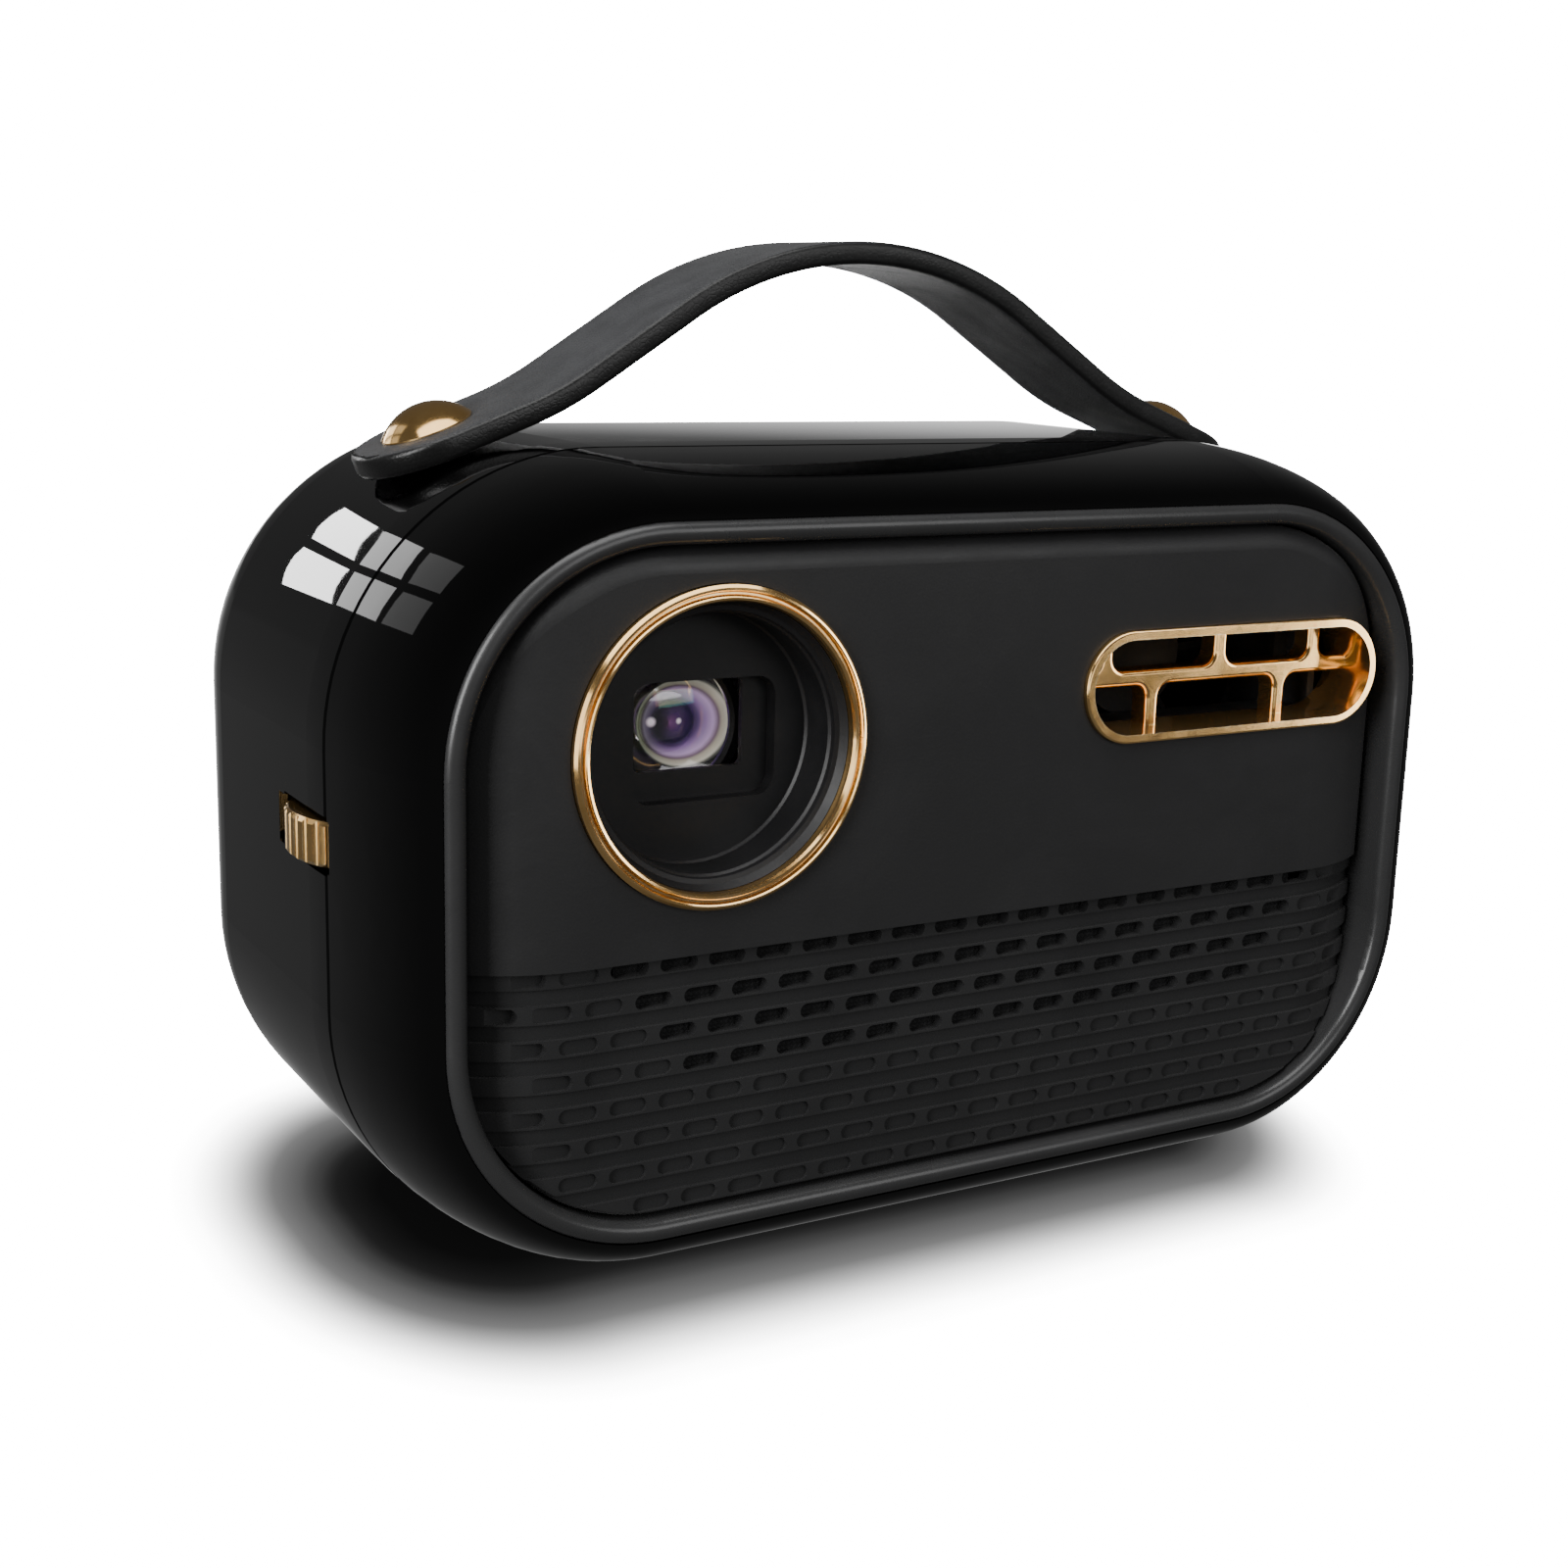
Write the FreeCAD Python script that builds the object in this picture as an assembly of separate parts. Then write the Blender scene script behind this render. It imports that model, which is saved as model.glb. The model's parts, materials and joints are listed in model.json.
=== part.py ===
import FreeCAD, Part
import cmath
import math
import os

# Portable home projector, in millimetres. +Z is up, -Y is the side the lens looks out of,
# and the origin is on the table under the middle of the case.

# --- driving dimensions ---
foot_height = 1.5
core_x, core_z = 45.0, 16.0          # half sizes of the block that every outline is drawn around
mid_z = foot_height + 51.0           # height of the middle of the case
panel_r, bezel_r, body_r, back_r = 25.0, 28.0, 35.0, 25.4   # outline distance from the block
lip_y, belly_y, shoulder_y, back_y = -39.2, -12.55, 24.65, 40.65
seam_y, seam_gap, seam_bevel = -18.65, 0.3, 0.3
wall = 2.2

panel_y = -39.5                      # flat middle of the front panel
panel_wall = 2.6
panel_bend_x, panel_bend_r = 55.5, 24.0
panel_edge_round = 3.0
grille_top_z, grille_step = 44.6, 1.0
row_pitch, slot_pitch, slot_length, slot_height = 4.3, 6.52, 5.0, 1.9
row_count, grille_mid_x = 8, 2.6
through_slots = (17, 16, 15, 14)     # open slots in the top rows, the other rows are only embossed
pocket_depth, groove_width, groove_depth = 0.5, 2.0, 0.6

ring_x, ring_z, ring_front_y = -38.2, 69.6, -40.65
ring_outer_r, ring_inner_r = 19.5, 17.5
lens_x, lens_z = -37.8, 69.9
lens_r, barrel_r, dome_r = 7.6, 9.2, 16.0

vent_x, vent_z, vent_half, vent_r = 39.85, 73.0, 25.3, 7.5
vent_wall, vent_depth, vent_front_y, lattice_set_back = 1.2, 9.0, -40.3, 5.0

wheel_x, wheel_y, wheel_low_z, wheel_thick = -68.3, -11.0, 54.2, 5.6
wheel_r, wheel_ridges = 13.5, 42
gear_module, pinion_teeth, rack_teeth = 0.6, 16, 13
carriage_left = -54.2
rod_places = ((-51.5, 83.0), (-24.5, 57.5))

strap_width, strap_thick, rivet_x, strap_tip = 20.0, 3.0, 57.5, 10.5
strap_y, arch_angle, arch_r, sweep_r, strap_flat = 3.05, math.radians(33), 48.0, 48.0, 8.8

key_z, key_travel = 84.0, 0.5
port_z, board_y = 30.0, 28.0
deck_z = 45.5
fan_x, fan_z, fan_size, fan_front_y, fan_depth = 39.85, 73.0, 40.0, -18.0, 12.0

os.makedirs("parts", exist_ok=True)
X, Y, Z = FreeCAD.Vector(1, 0, 0), FreeCAD.Vector(0, 1, 0), FreeCAD.Vector(0, 0, 1)
origin = FreeCAD.Vector(0, 0, 0)


def at(x, y, z):
    return FreeCAD.Vector(x, y, z)


def box(x0, x1, y0, y1, z0, z1):
    return Part.makeBox(x1 - x0, y1 - y0, z1 - z0, at(x0, y0, z0))


def rod(radius, start, axis, length):
    return Part.makeCylinder(radius, length, start, axis)


def tube(outer, inner, start, axis, length):
    return rod(outer, start, axis, length).cut(rod(inner, start, axis, length))


def polygon(points):
    corners = [at(*p) for p in points]
    return Part.makePolygon(corners + corners[:1])


def turned(points, x, z):
    """A shape turned about the line along Y through (x, z), from (radius, y) points."""
    face = Part.Face(polygon([(r, y, 0) for r, y in points]))
    shape = face.revolve(origin, Y, 360)
    shape.translate(at(x, 0, z))
    return shape


def stadium(half, radius, x, z, y0, y1):
    """A prism along Y whose outline has straight top and bottom and round ends."""
    run = half - radius
    if run < 1e-3:
        return rod(radius, at(x, y0, z), Y, y1 - y0)
    top = Part.LineSegment(at(x - run, y0, z + radius), at(x + run, y0, z + radius)).toShape()
    low = Part.LineSegment(at(x + run, y0, z - radius), at(x - run, y0, z - radius)).toShape()
    right = Part.Arc(at(x + run, y0, z + radius), at(x + half, y0, z), at(x + run, y0, z - radius)).toShape()
    left = Part.Arc(at(x - run, y0, z - radius), at(x - half, y0, z), at(x - run, y0, z + radius)).toShape()
    return Part.Face(Part.Wire([top, right, low, left])).extrude(at(0, y1 - y0, 0))


def soft_box(x0, x1, z0, z1, y0, y1, radius):
    """A prism along Y with a rounded rectangle as its outline."""
    shape = box(x0, x1, y0, y1, z0, z1)
    edges = [e for e in shape.Edges if abs(e.Vertexes[0].X - e.Vertexes[1].X) < 1e-6
             and abs(e.Vertexes[0].Z - e.Vertexes[1].Z) < 1e-6]
    return shape.makeFillet(radius, edges)


def soft_box_z(x0, x1, y0, y1, z0, z1, radius):
    """A prism along Z with a rounded rectangle as its outline."""
    shape = box(x0, x1, y0, y1, z0, z1)
    edges = [e for e in shape.Edges if e.BoundBox.ZLength > z1 - z0 - 1e-6]
    return shape.makeFillet(radius, edges)


def outline_prism(r, y0, y1):
    """A prism along Y with the case's outline at distance r from the middle block."""
    return soft_box(-core_x - r, core_x + r, mid_z - core_z - r, mid_z + core_z + r, y0, y1, r)


def swept(profile, to_middle):
    """Sweep a face drawn in (r, y) round the case; to_middle fills in to the middle block."""
    pieces = []
    for sx, sz, first in ((1, 1, 0), (-1, 1, 90), (-1, -1, 180), (1, -1, 270)):
        corner = profile.revolve(origin, -Y, 90)
        corner.rotate(origin, -Y, first)
        corner.translate(at(sx * core_x, 0, mid_z + sz * core_z))
        pieces.append(corner)
    for turn, reach, run in ((0, core_x, core_z), (90, core_z, core_x),
                             (180, core_x, core_z), (270, core_z, core_x)):
        side = profile.copy()
        side.translate(at(reach, 0, -run))
        side = side.extrude(at(0, 0, 2 * run))
        side.rotate(origin, -Y, turn)
        side.translate(at(0, 0, mid_z))
        pieces.append(side)
    if to_middle:
        y0, y1 = to_middle
        pieces.append(box(-core_x, core_x, y0, y1, mid_z - core_z, mid_z + core_z))
    return pieces[0].fuse(pieces[1:]).removeSplitter()


def oval(r, y, half_r, half_y, start, end):
    """Part of a tall ellipse in the (r, y) plane; the angle runs from +y towards +r."""
    ellipse = Part.Ellipse(at(r, y + half_y, 0), at(r + half_r, y, 0), at(r, y, 0))
    return Part.ArcOfEllipse(ellipse, min(start, end), max(start, end)).toShape()


def bowl(r, y, sag):
    """An arc in the (r, y) plane from the axis at y out to r, where it has moved by sag."""
    ball = (r * r + sag * sag) / (2 * sag)
    half_way = y + ball - math.copysign(math.sqrt(ball * ball - r * r / 4), ball)
    return Part.Arc(at(0, y, 0), at(r / 2, half_way, 0),
                    at(r, y + sag, 0)).toShape()


def outline(edges):
    """A face in the (r, y) plane from edges in any order."""
    return Part.Face(Part.Wire(Part.__sortEdges__(edges)))


def line(start, end):
    """A straight edge from (r, y) to (r, y)."""
    return Part.LineSegment(at(start[0], start[1], 0), at(end[0], end[1], 0)).toShape()


def save(name, shape):
    solids = shape.Solids
    shape = solids[0] if len(solids) == 1 else Part.makeCompound(solids)
    shape.exportStep(f"parts/{name}.step")


def save_group(name, shapes):
    save(name, Part.makeCompound([s for shape in shapes for s in shape.Solids]))


def front_angle(y):
    """Where the front of the case's outer curve is at depth y, as an angle on its ellipse."""
    return math.acos((y - belly_y) / (belly_y - lip_y))


# --- case shells ---

def outer_r(y):
    """How far the front of the case's outer curve is from the block at depth y."""
    return bezel_r + (body_r - bezel_r) * math.sin(front_angle(y))


def wheel_slot(y0, y1):
    return box(-body_r - core_x - 5, -core_x - body_r + 6, y0, y1, wheel_low_z - 0.4,
               wheel_low_z + wheel_thick + 0.4)


def rivet_frame(side, shape):
    """Stand a shape built about +Z on the shoulder of the case, at one of the two rivets."""
    lean = math.degrees(math.asin((rivet_x - core_x) / body_r))
    height = mid_z + core_z + math.sqrt(body_r ** 2 - (rivet_x - core_x) ** 2)
    shape = shape.copy()
    shape.rotate(origin, Y, side * lean)
    shape.translate(at(side * rivet_x, strap_y, height))
    return shape


def make_front_shell():
    rear, lip_in, inner_r = seam_y - seam_gap / 2, lip_y + 2.4, bezel_r + 0.15
    outer = rear - seam_bevel
    corner = (outer_r(rear) - seam_bevel, rear)
    edges = [oval(bezel_r, belly_y, body_r - bezel_r, belly_y - lip_y, front_angle(outer), math.pi),
             line((outer_r(outer), outer), corner), line(corner, (body_r - wall, rear)),
             oval(inner_r, rear, body_r - wall - inner_r, rear - lip_in, math.pi / 2, math.pi),
             line((inner_r, lip_in), (inner_r, lip_y + 0.3)),
             line((inner_r, lip_y + 0.3), (bezel_r, lip_y))]
    relief = rod(wheel_r + 0.3, at(wheel_x, wheel_y, wheel_low_z - 0.4), Z, wheel_thick + 0.8)
    save("front_shell", swept(outline(edges), None).cut(relief).cut(wheel_slot(seam_y - 0.95, seam_y + 1)))


def make_rear_shell():
    front, inside = seam_y + seam_gap / 2, back_y - wall
    turn_r, turn_y, outer = body_r - back_r, back_y - shoulder_y, front + seam_bevel
    corner = (outer_r(front) - seam_bevel, front)
    edges = [oval(bezel_r, belly_y, body_r - bezel_r, belly_y - lip_y, math.pi / 2, front_angle(outer)),
             line((body_r, belly_y), (body_r, shoulder_y)),
             oval(back_r, shoulder_y, turn_r, turn_y, 0, math.pi / 2),
             line((back_r, back_y), (0, back_y)), line((0, back_y), (0, inside)),
             line((0, inside), (back_r, inside)),
             oval(back_r, shoulder_y, turn_r - wall, turn_y - wall, 0, math.pi / 2),
             line((body_r - wall, shoulder_y), (body_r - wall, front)),
             line((body_r - wall, front), corner), line(corner, (outer_r(outer), outer))]
    shell = swept(outline(edges), (inside, back_y))
    out_r = body_r - wall - 0.35
    tongue = polygon([(out_r - 1.2, front - 2.4, 0), (out_r, front - 2.4, 0), (out_r, front + 0.4, 0),
                      (out_r + 0.45, front + 0.8, 0), (out_r + 0.45, front + 2.4, 0),
                      (out_r - 1.2, front + 2.4, 0)])
    shell = shell.fuse(swept(Part.Face(tongue), None))
    relief = rod(wheel_r + 0.5, at(wheel_x, wheel_y, wheel_low_z - 0.8), Z, wheel_thick + 1.6)
    cuts = [relief, wheel_slot(front - 3, wheel_y + 10.0)]
    cuts += [rivet_frame(side, rod(2.15, at(0, 0, -5), Z, 10)) for side in (-1, 1)]
    cuts.append(soft_box(-49, 49, port_z - 11, port_z + 11, back_y - 5, back_y + 1, 3))
    cuts += [stadium(half + 0.25, radius + 0.25, x, key_z, back_y - 5, back_y + 1)
             for x, half, radius in key_places()]
    for row in range(3):
        for i in range(-6, 7):
            cuts.append(stadium(2.0, 0.9, i * 5.4, 58 + 5.4 * row, back_y - 5, back_y + 1))
    cuts += [rod(1.7, at(x, back_y - 5, z), Y, 6) for x, z in post_places()]
    cuts += [rod(3.0, at(x, back_y - 1.0, z), Y, 2) for x, z in post_places()]
    cuts.append(rod(8.05, at(0, strap_y, 0), Z, 6))
    for row in range(-2, 3):
        for i in range(-4, 5):
            if math.hypot(i, row) > 2.2:
                cuts.append(rod(1.1, at(i * 5.2, strap_y + row * 5.2, 0), Z, 5))
    save("rear_shell", shell.cut(Part.makeCompound(cuts)))


def key_places():
    """Middle, half length and radius of the power button and the three keys."""
    return ((-27, 4.5, 4.5), (-8, 5.5, 3.2), (10, 5.5, 3.2), (28, 5.5, 3.2))


def post_places():
    return [(x, mid_z + z) for x in (-66, 66) for z in (-24, 24)]


def make_bezel_ring():
    top = Part.Arc(at(panel_r + 0.15, lip_y + 0.55, 0), at(26.4, lip_y - 0.75, 0),
                   at(bezel_r - 0.05, lip_y + 0.5, 0)).toShape()
    edges = [top, line((bezel_r - 0.05, lip_y + 0.5), (bezel_r - 0.05, lip_y + 2.5)),
             line((bezel_r - 0.05, lip_y + 2.5), (panel_r + 1.7, lip_y + 4.2)),
             line((panel_r + 1.7, lip_y + 4.2), (panel_r + 1.7, lip_y + 9.5)),
             line((panel_r + 1.7, lip_y + 9.5), (panel_r + 0.15, lip_y + 9.5)),
             line((panel_r + 0.15, lip_y + 9.5), (panel_r + 0.15, lip_y + 0.55))]
    save("bezel_ring", swept(outline(edges), None))


# --- front panel and what sits in it ---

def pillow(set_back, r, depth):
    """A block with the panel's outline, flat in the middle and rolling back at its two ends."""
    front = panel_y + set_back
    reach = core_x + r + 5
    turn = math.asin((reach - panel_bend_x) / panel_bend_r)

    def roll(side, angle):
        return at(side * (panel_bend_x + panel_bend_r * math.sin(angle)),
                  front + panel_bend_r * (1 - math.cos(angle)), 0)
    edges = [Part.Arc(roll(-1, turn), roll(-1, turn / 2), roll(-1, 0)).toShape(),
             Part.LineSegment(roll(-1, 0), roll(1, 0)).toShape(),
             Part.Arc(roll(1, 0), roll(1, turn / 2), roll(1, turn)).toShape(),
             Part.LineSegment(roll(1, turn), at(reach, front + 20, 0)).toShape(),
             Part.LineSegment(at(reach, front + 20, 0), at(-reach, front + 20, 0)).toShape(),
             Part.LineSegment(at(-reach, front + 20, 0), roll(-1, turn)).toShape()]
    solid = Part.Face(Part.Wire(edges)).extrude(at(0, 0, 110))
    return solid.common(outline_prism(r, front - 5, depth))


def slot_places():
    """Every slot of the grille as (x, z, is_open)."""
    places = []
    for row in range(row_count):
        z = grille_top_z - 1.0 - row * row_pitch
        drop = max(0.0, mid_z - core_z - z)
        reach = core_x + math.sqrt(panel_r ** 2 - drop ** 2) - 1.2 - slot_length / 2
        shift = 0.0 if row % 2 == 0 else 0.5
        for i in range(-12, 13):
            x = grille_mid_x + (i + shift) * slot_pitch
            if abs(x) > reach:
                continue
            opened = row < len(through_slots) and abs(x - grille_mid_x) < through_slots[row] * slot_pitch / 2
            places.append((x, z, opened))
    return places


def make_front_panel():
    back = lip_y + 8.5
    panel = pillow(0, panel_r - 0.1, back)
    rim = [e for e in panel.Edges if e.BoundBox.YMin < panel_y + 5.5 and e.BoundBox.YMax < panel_y + 6
           and not (e.BoundBox.XLength < 1e-3 and abs(abs(e.BoundBox.XMin) - panel_bend_x) < 1e-3)]
    panel = panel.makeFillet(panel_edge_round, rim)
    lower = pillow(grille_step, panel_r + 1, back + 1)
    below = box(-90, 90, -60, back, 0, grille_top_z)
    panel = panel.cut(below.cut(lower))
    panel = panel.cut(pillow(panel_wall, panel_r - 2.2, back + 1))
    cuts = [rod(ring_inner_r + 0.7, at(ring_x, -45, ring_z), Y, 15),
            rod(ring_outer_r + 0.1, at(ring_x, -45, ring_z), Y, 45 + panel_y + 1.0),
            stadium(vent_half + 0.05, vent_r + 0.05, vent_x, vent_z, -45, back)]
    for x, z, opened in slot_places():
        roll = abs(x) - panel_bend_x
        fall = panel_bend_r - math.sqrt(panel_bend_r ** 2 - roll ** 2) if roll > 0 else 0.0
        depth = panel_y + grille_step + fall + (9 if opened else pocket_depth)
        cuts.append(stadium(slot_length / 2, slot_height / 2, x, z, -45, depth))
    for row in range(row_count):
        z = grille_top_z - 1.0 - (row + 0.5) * row_pitch
        face = pillow(grille_step + groove_depth, panel_r + 1, back + 1)
        groove = box(-90, 90, -60, back, z - groove_width / 2, z + groove_width / 2).cut(face)
        cuts.append(groove)
    save("front_panel", panel.cut(Part.makeCompound(cuts)))


def make_speaker_mesh():
    y = panel_y + panel_wall + 0.1
    save("speaker_mesh", box(-51, 55, y, y + 0.4, 27.5, 47.5))


def make_lens_ring():
    ring = [(ring_outer_r, panel_y + 1.0), (ring_outer_r, ring_front_y + 0.45),
            (ring_outer_r - 0.35, ring_front_y + 0.1),
            (ring_outer_r - 0.6, ring_front_y), (ring_outer_r - 0.75, ring_front_y + 0.15),
            (ring_outer_r - 0.95, ring_front_y + 0.6), (ring_inner_r + 0.85, ring_front_y + 0.6),
            (ring_inner_r + 0.65, ring_front_y + 0.15), (ring_inner_r + 0.5, ring_front_y),
            (ring_inner_r + 0.2, ring_front_y + 0.1), (ring_inner_r, ring_front_y + 0.45),
            (ring_inner_r, panel_y + 2.5),
            (ring_inner_r + 0.6, panel_y + 2.5), (ring_inner_r + 0.6, panel_y + 1.0)]
    save("lens_ring", turned(ring, ring_x, ring_z))


def make_lens_tunnel():
    face_y, floor_y = -31.95, -29.95
    step_r, bore_r = 16.1, 15.7
    profile_points = [(ring_inner_r - 0.05, panel_y + 0.4), (ring_inner_r - 0.05, panel_y + 2.6),
                      (ring_inner_r + 2, panel_y + 2.9),
                      (ring_inner_r + 2, panel_y + 4), (ring_inner_r - 0.6, panel_y + 4.6),
                      (ring_inner_r - 0.6, floor_y + 0.8),
                      (0, floor_y + 0.8), (0, face_y), (bore_r - 0.3, face_y), (bore_r, face_y - 0.3),
                      (bore_r + 0.1, -37.0), (step_r, -37.3), (step_r + 0.1, -37.95),
                      (ring_inner_r - 0.7, -38.1)]
    tunnel = turned(profile_points, ring_x, ring_z)
    recess = soft_box(ring_x - 8.4, ring_x + 11.2, ring_z - 8.0, ring_z + 6.9, face_y - 1, floor_y, 2.5)
    window = soft_box(-45.3, -30.6, 65.2, 76.1, floor_y - 1, floor_y + 2, 0.8)
    save("lens_tunnel", tunnel.cut(recess).cut(window))


def cell(x0, x1, z0, z1):
    y0 = vent_front_y + lattice_set_back
    return soft_box(x0, x1, z0, z1, y0 - 0.01, y0 + 4, min(1.8, (x1 - x0) / 2.3))


def make_vent_grille():
    y0, y1 = vent_front_y, vent_front_y + vent_depth
    wall_in = vent_half - vent_wall, vent_r - vent_wall
    frame = stadium(vent_half, vent_r, vent_x, vent_z, y0, y1)
    frame = frame.makeFillet(0.35, [e for e in frame.Edges if e.BoundBox.YMax < y0 + 0.01])
    frame = frame.cut(stadium(wall_in[0], wall_in[1], vent_x, vent_z, y0 - 1, y1 + 1))
    front = y0 + lattice_set_back
    lattice = stadium(wall_in[0] + 0.2, wall_in[1] + 0.2, vent_x, vent_z, front, front + 3)
    left, right = vent_x - vent_half, vent_x + vent_half
    bar, mid = 1.1, vent_z + 0.2
    top_bars, low_bars = (21.5, 41.0, 58.0), (29.5, 52.0)
    holes = []
    for bars, z0, z1 in ((top_bars, mid + bar, vent_z + 9), (low_bars, vent_z - 9, mid - bar)):
        edges = [left - 4] + [side for x in bars for side in (x - bar, x + bar)] + [right + 4]
        holes += [cell(x0, x1, z0, z1) for x0, x1 in zip(edges[::2], edges[1::2])]
    lattice = lattice.cut(Part.makeCompound(holes))
    mouth = stadium(wall_in[0] - 0.3, wall_in[1] - 0.3, vent_x, vent_z, front - 1, front + 1)
    rims = []
    for edge in lattice.Edges:
        middle = edge.valueAt((edge.FirstParameter + edge.LastParameter) / 2)
        on_front = edge.BoundBox.YMin > front - 0.01 and edge.BoundBox.YMax < front + 0.01
        if on_front and mouth.isInside(middle, 1e-3, True):
            rims.append(edge)
    save("vent_grille", frame.fuse(lattice.makeFillet(0.7, rims)))


def make_vent_duct():
    y0, y1 = vent_front_y + vent_depth + 0.1, fan_front_y
    half = fan_size / 2
    y_mid = y0 + 6
    mouth = box(vent_x - 24, fan_x + 22.4, y0, y_mid, vent_z - 8, vent_z + 8)
    mouth = mouth.cut(box(vent_x - 22.8, fan_x + 21.2, y0 - 1, y_mid + 1, vent_z - 6.8, vent_z + 6.8))
    plenum = box(fan_x - half, fan_x + half, y_mid, y1, fan_z - half, fan_z + half)
    left, right = fan_x - half + 1.2, fan_x + half - 1.2
    plenum = plenum.cut(box(left, right, y_mid + 1.2, y1 + 1, fan_z - half + 1.2, fan_z + half - 1.2))
    plenum = plenum.cut(box(left, right, y_mid - 1, y_mid + 2, vent_z - 6.8, vent_z + 6.8))
    shelf = box(vent_x - 24, fan_x + 22.4, y_mid - 1.2, y_mid, vent_z - 8, vent_z + 8)
    shelf = shelf.cut(box(left, right, y_mid - 2, y_mid + 1, vent_z - 6.8, vent_z + 6.8))
    save("vent_duct", mouth.fuse([plenum, shelf]).removeSplitter())


# --- focus wheel, gear and lens ---

def gear_disc(teeth, pitch_r, low_z, high_z, slack):
    """A straight-toothed gear about Z at the wheel's axle; slack is the play left in each gap."""
    pressure = math.radians(20)
    base = pitch_r * math.cos(pressure)
    outer, root = pitch_r + gear_module, pitch_r - 1.2 * gear_module
    half_tooth = math.pi / (2 * teeth) - slack / (2 * pitch_r) + math.tan(pressure) - pressure

    def flank(radius):
        grow = math.acos(min(1.0, base / radius))
        return half_tooth - (math.tan(grow) - grow)
    radii = [max(base, root) + (outer - max(base, root)) * step / 4 for step in range(5)]
    points = []
    for tooth in range(teeth):
        middle = 2 * math.pi * (tooth + 0.5) / teeth
        side = [(root, -flank(radii[0]))] + [(radius, -flank(radius)) for radius in radii]
        for radius, angle in side + [(r, -a) for r, a in reversed(side)]:
            points.append((radius * math.cos(middle + angle), radius * math.sin(middle + angle), low_z))
    disc = Part.Face(polygon(points)).extrude(at(0, 0, high_z - low_z))
    disc.translate(at(wheel_x, wheel_y, 0))
    return disc


def make_focus_wheel():
    low, high = wheel_low_z, wheel_low_z + wheel_thick
    disc = rod(wheel_r, at(wheel_x, wheel_y, low), Z, wheel_thick)
    disc = disc.makeChamfer(0.5, [e for e in disc.Edges if e.BoundBox.ZLength < 1e-6])
    grooves = []
    for i in range(wheel_ridges):
        angle = 2 * math.pi * i / wheel_ridges
        reach = wheel_r + 0.15
        grooves.append(rod(0.55, at(wheel_x + reach * math.cos(angle), wheel_y + reach * math.sin(angle), low - 1),
                           Z, wheel_thick + 2))
    dish = tube(wheel_r - 2.5, 4.0, at(wheel_x, wheel_y, high - 1.0), Z, 2)
    bore = rod(1.55, at(wheel_x, wheel_y, low - 1), Z, wheel_thick + 2)
    save("focus_wheel", disc.cut(Part.makeCompound(grooves + [dish, bore])))
    pitch_r = gear_module * pinion_teeth / 2
    pinion = gear_disc(pinion_teeth, pitch_r, deck_z + 2.2, low, 0.16)
    save("focus_pinion", pinion.cut(rod(1.55, at(wheel_x, wheel_y, 0), Z, 90)))
    top = high + 0.2
    axle = rod(1.5, at(wheel_x, wheel_y, deck_z - 1.9), Z, top - deck_z + 1.9)
    axle = axle.fuse(rod(2.6, at(wheel_x, wheel_y, top), Z, 1.0)).cut(
        box(wheel_x - 3, wheel_x + 3, wheel_y - 0.3, wheel_y + 0.3, top + 0.5, top + 2))
    save("wheel_axle", axle)


def make_focus_rack():
    pitch_r = gear_module * pinion_teeth / 2
    pitch = math.pi * gear_module
    pitch_x = wheel_x + pitch_r
    lean = math.tan(math.radians(20))
    tip, root = pitch_x - gear_module, pitch_x + 1.25 * gear_module
    low, high = deck_z + 2.4, wheel_low_z - 0.4
    points = []
    first = wheel_y - (rack_teeth - 1) / 2 * pitch
    for i in range(rack_teeth):
        y = first + i * pitch
        half = pitch / 4 - 0.04
        for x, side in ((root, -1), (tip, -1), (tip, 1), (root, 1)):
            reach = half + (x - pitch_x) * lean
            points.append((x, y + side * reach, low))
    back = root + 2.2
    points += [(back, points[-1][1], low), (back, points[0][1], low)]
    rack = Part.Face(polygon(points)).extrude(at(0, 0, high - low))
    arm = box(back, carriage_left + 4.0, -9.0, -3.0, low, low + 2.5)
    save("focus_rack", rack.fuse(arm).removeSplitter())



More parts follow.
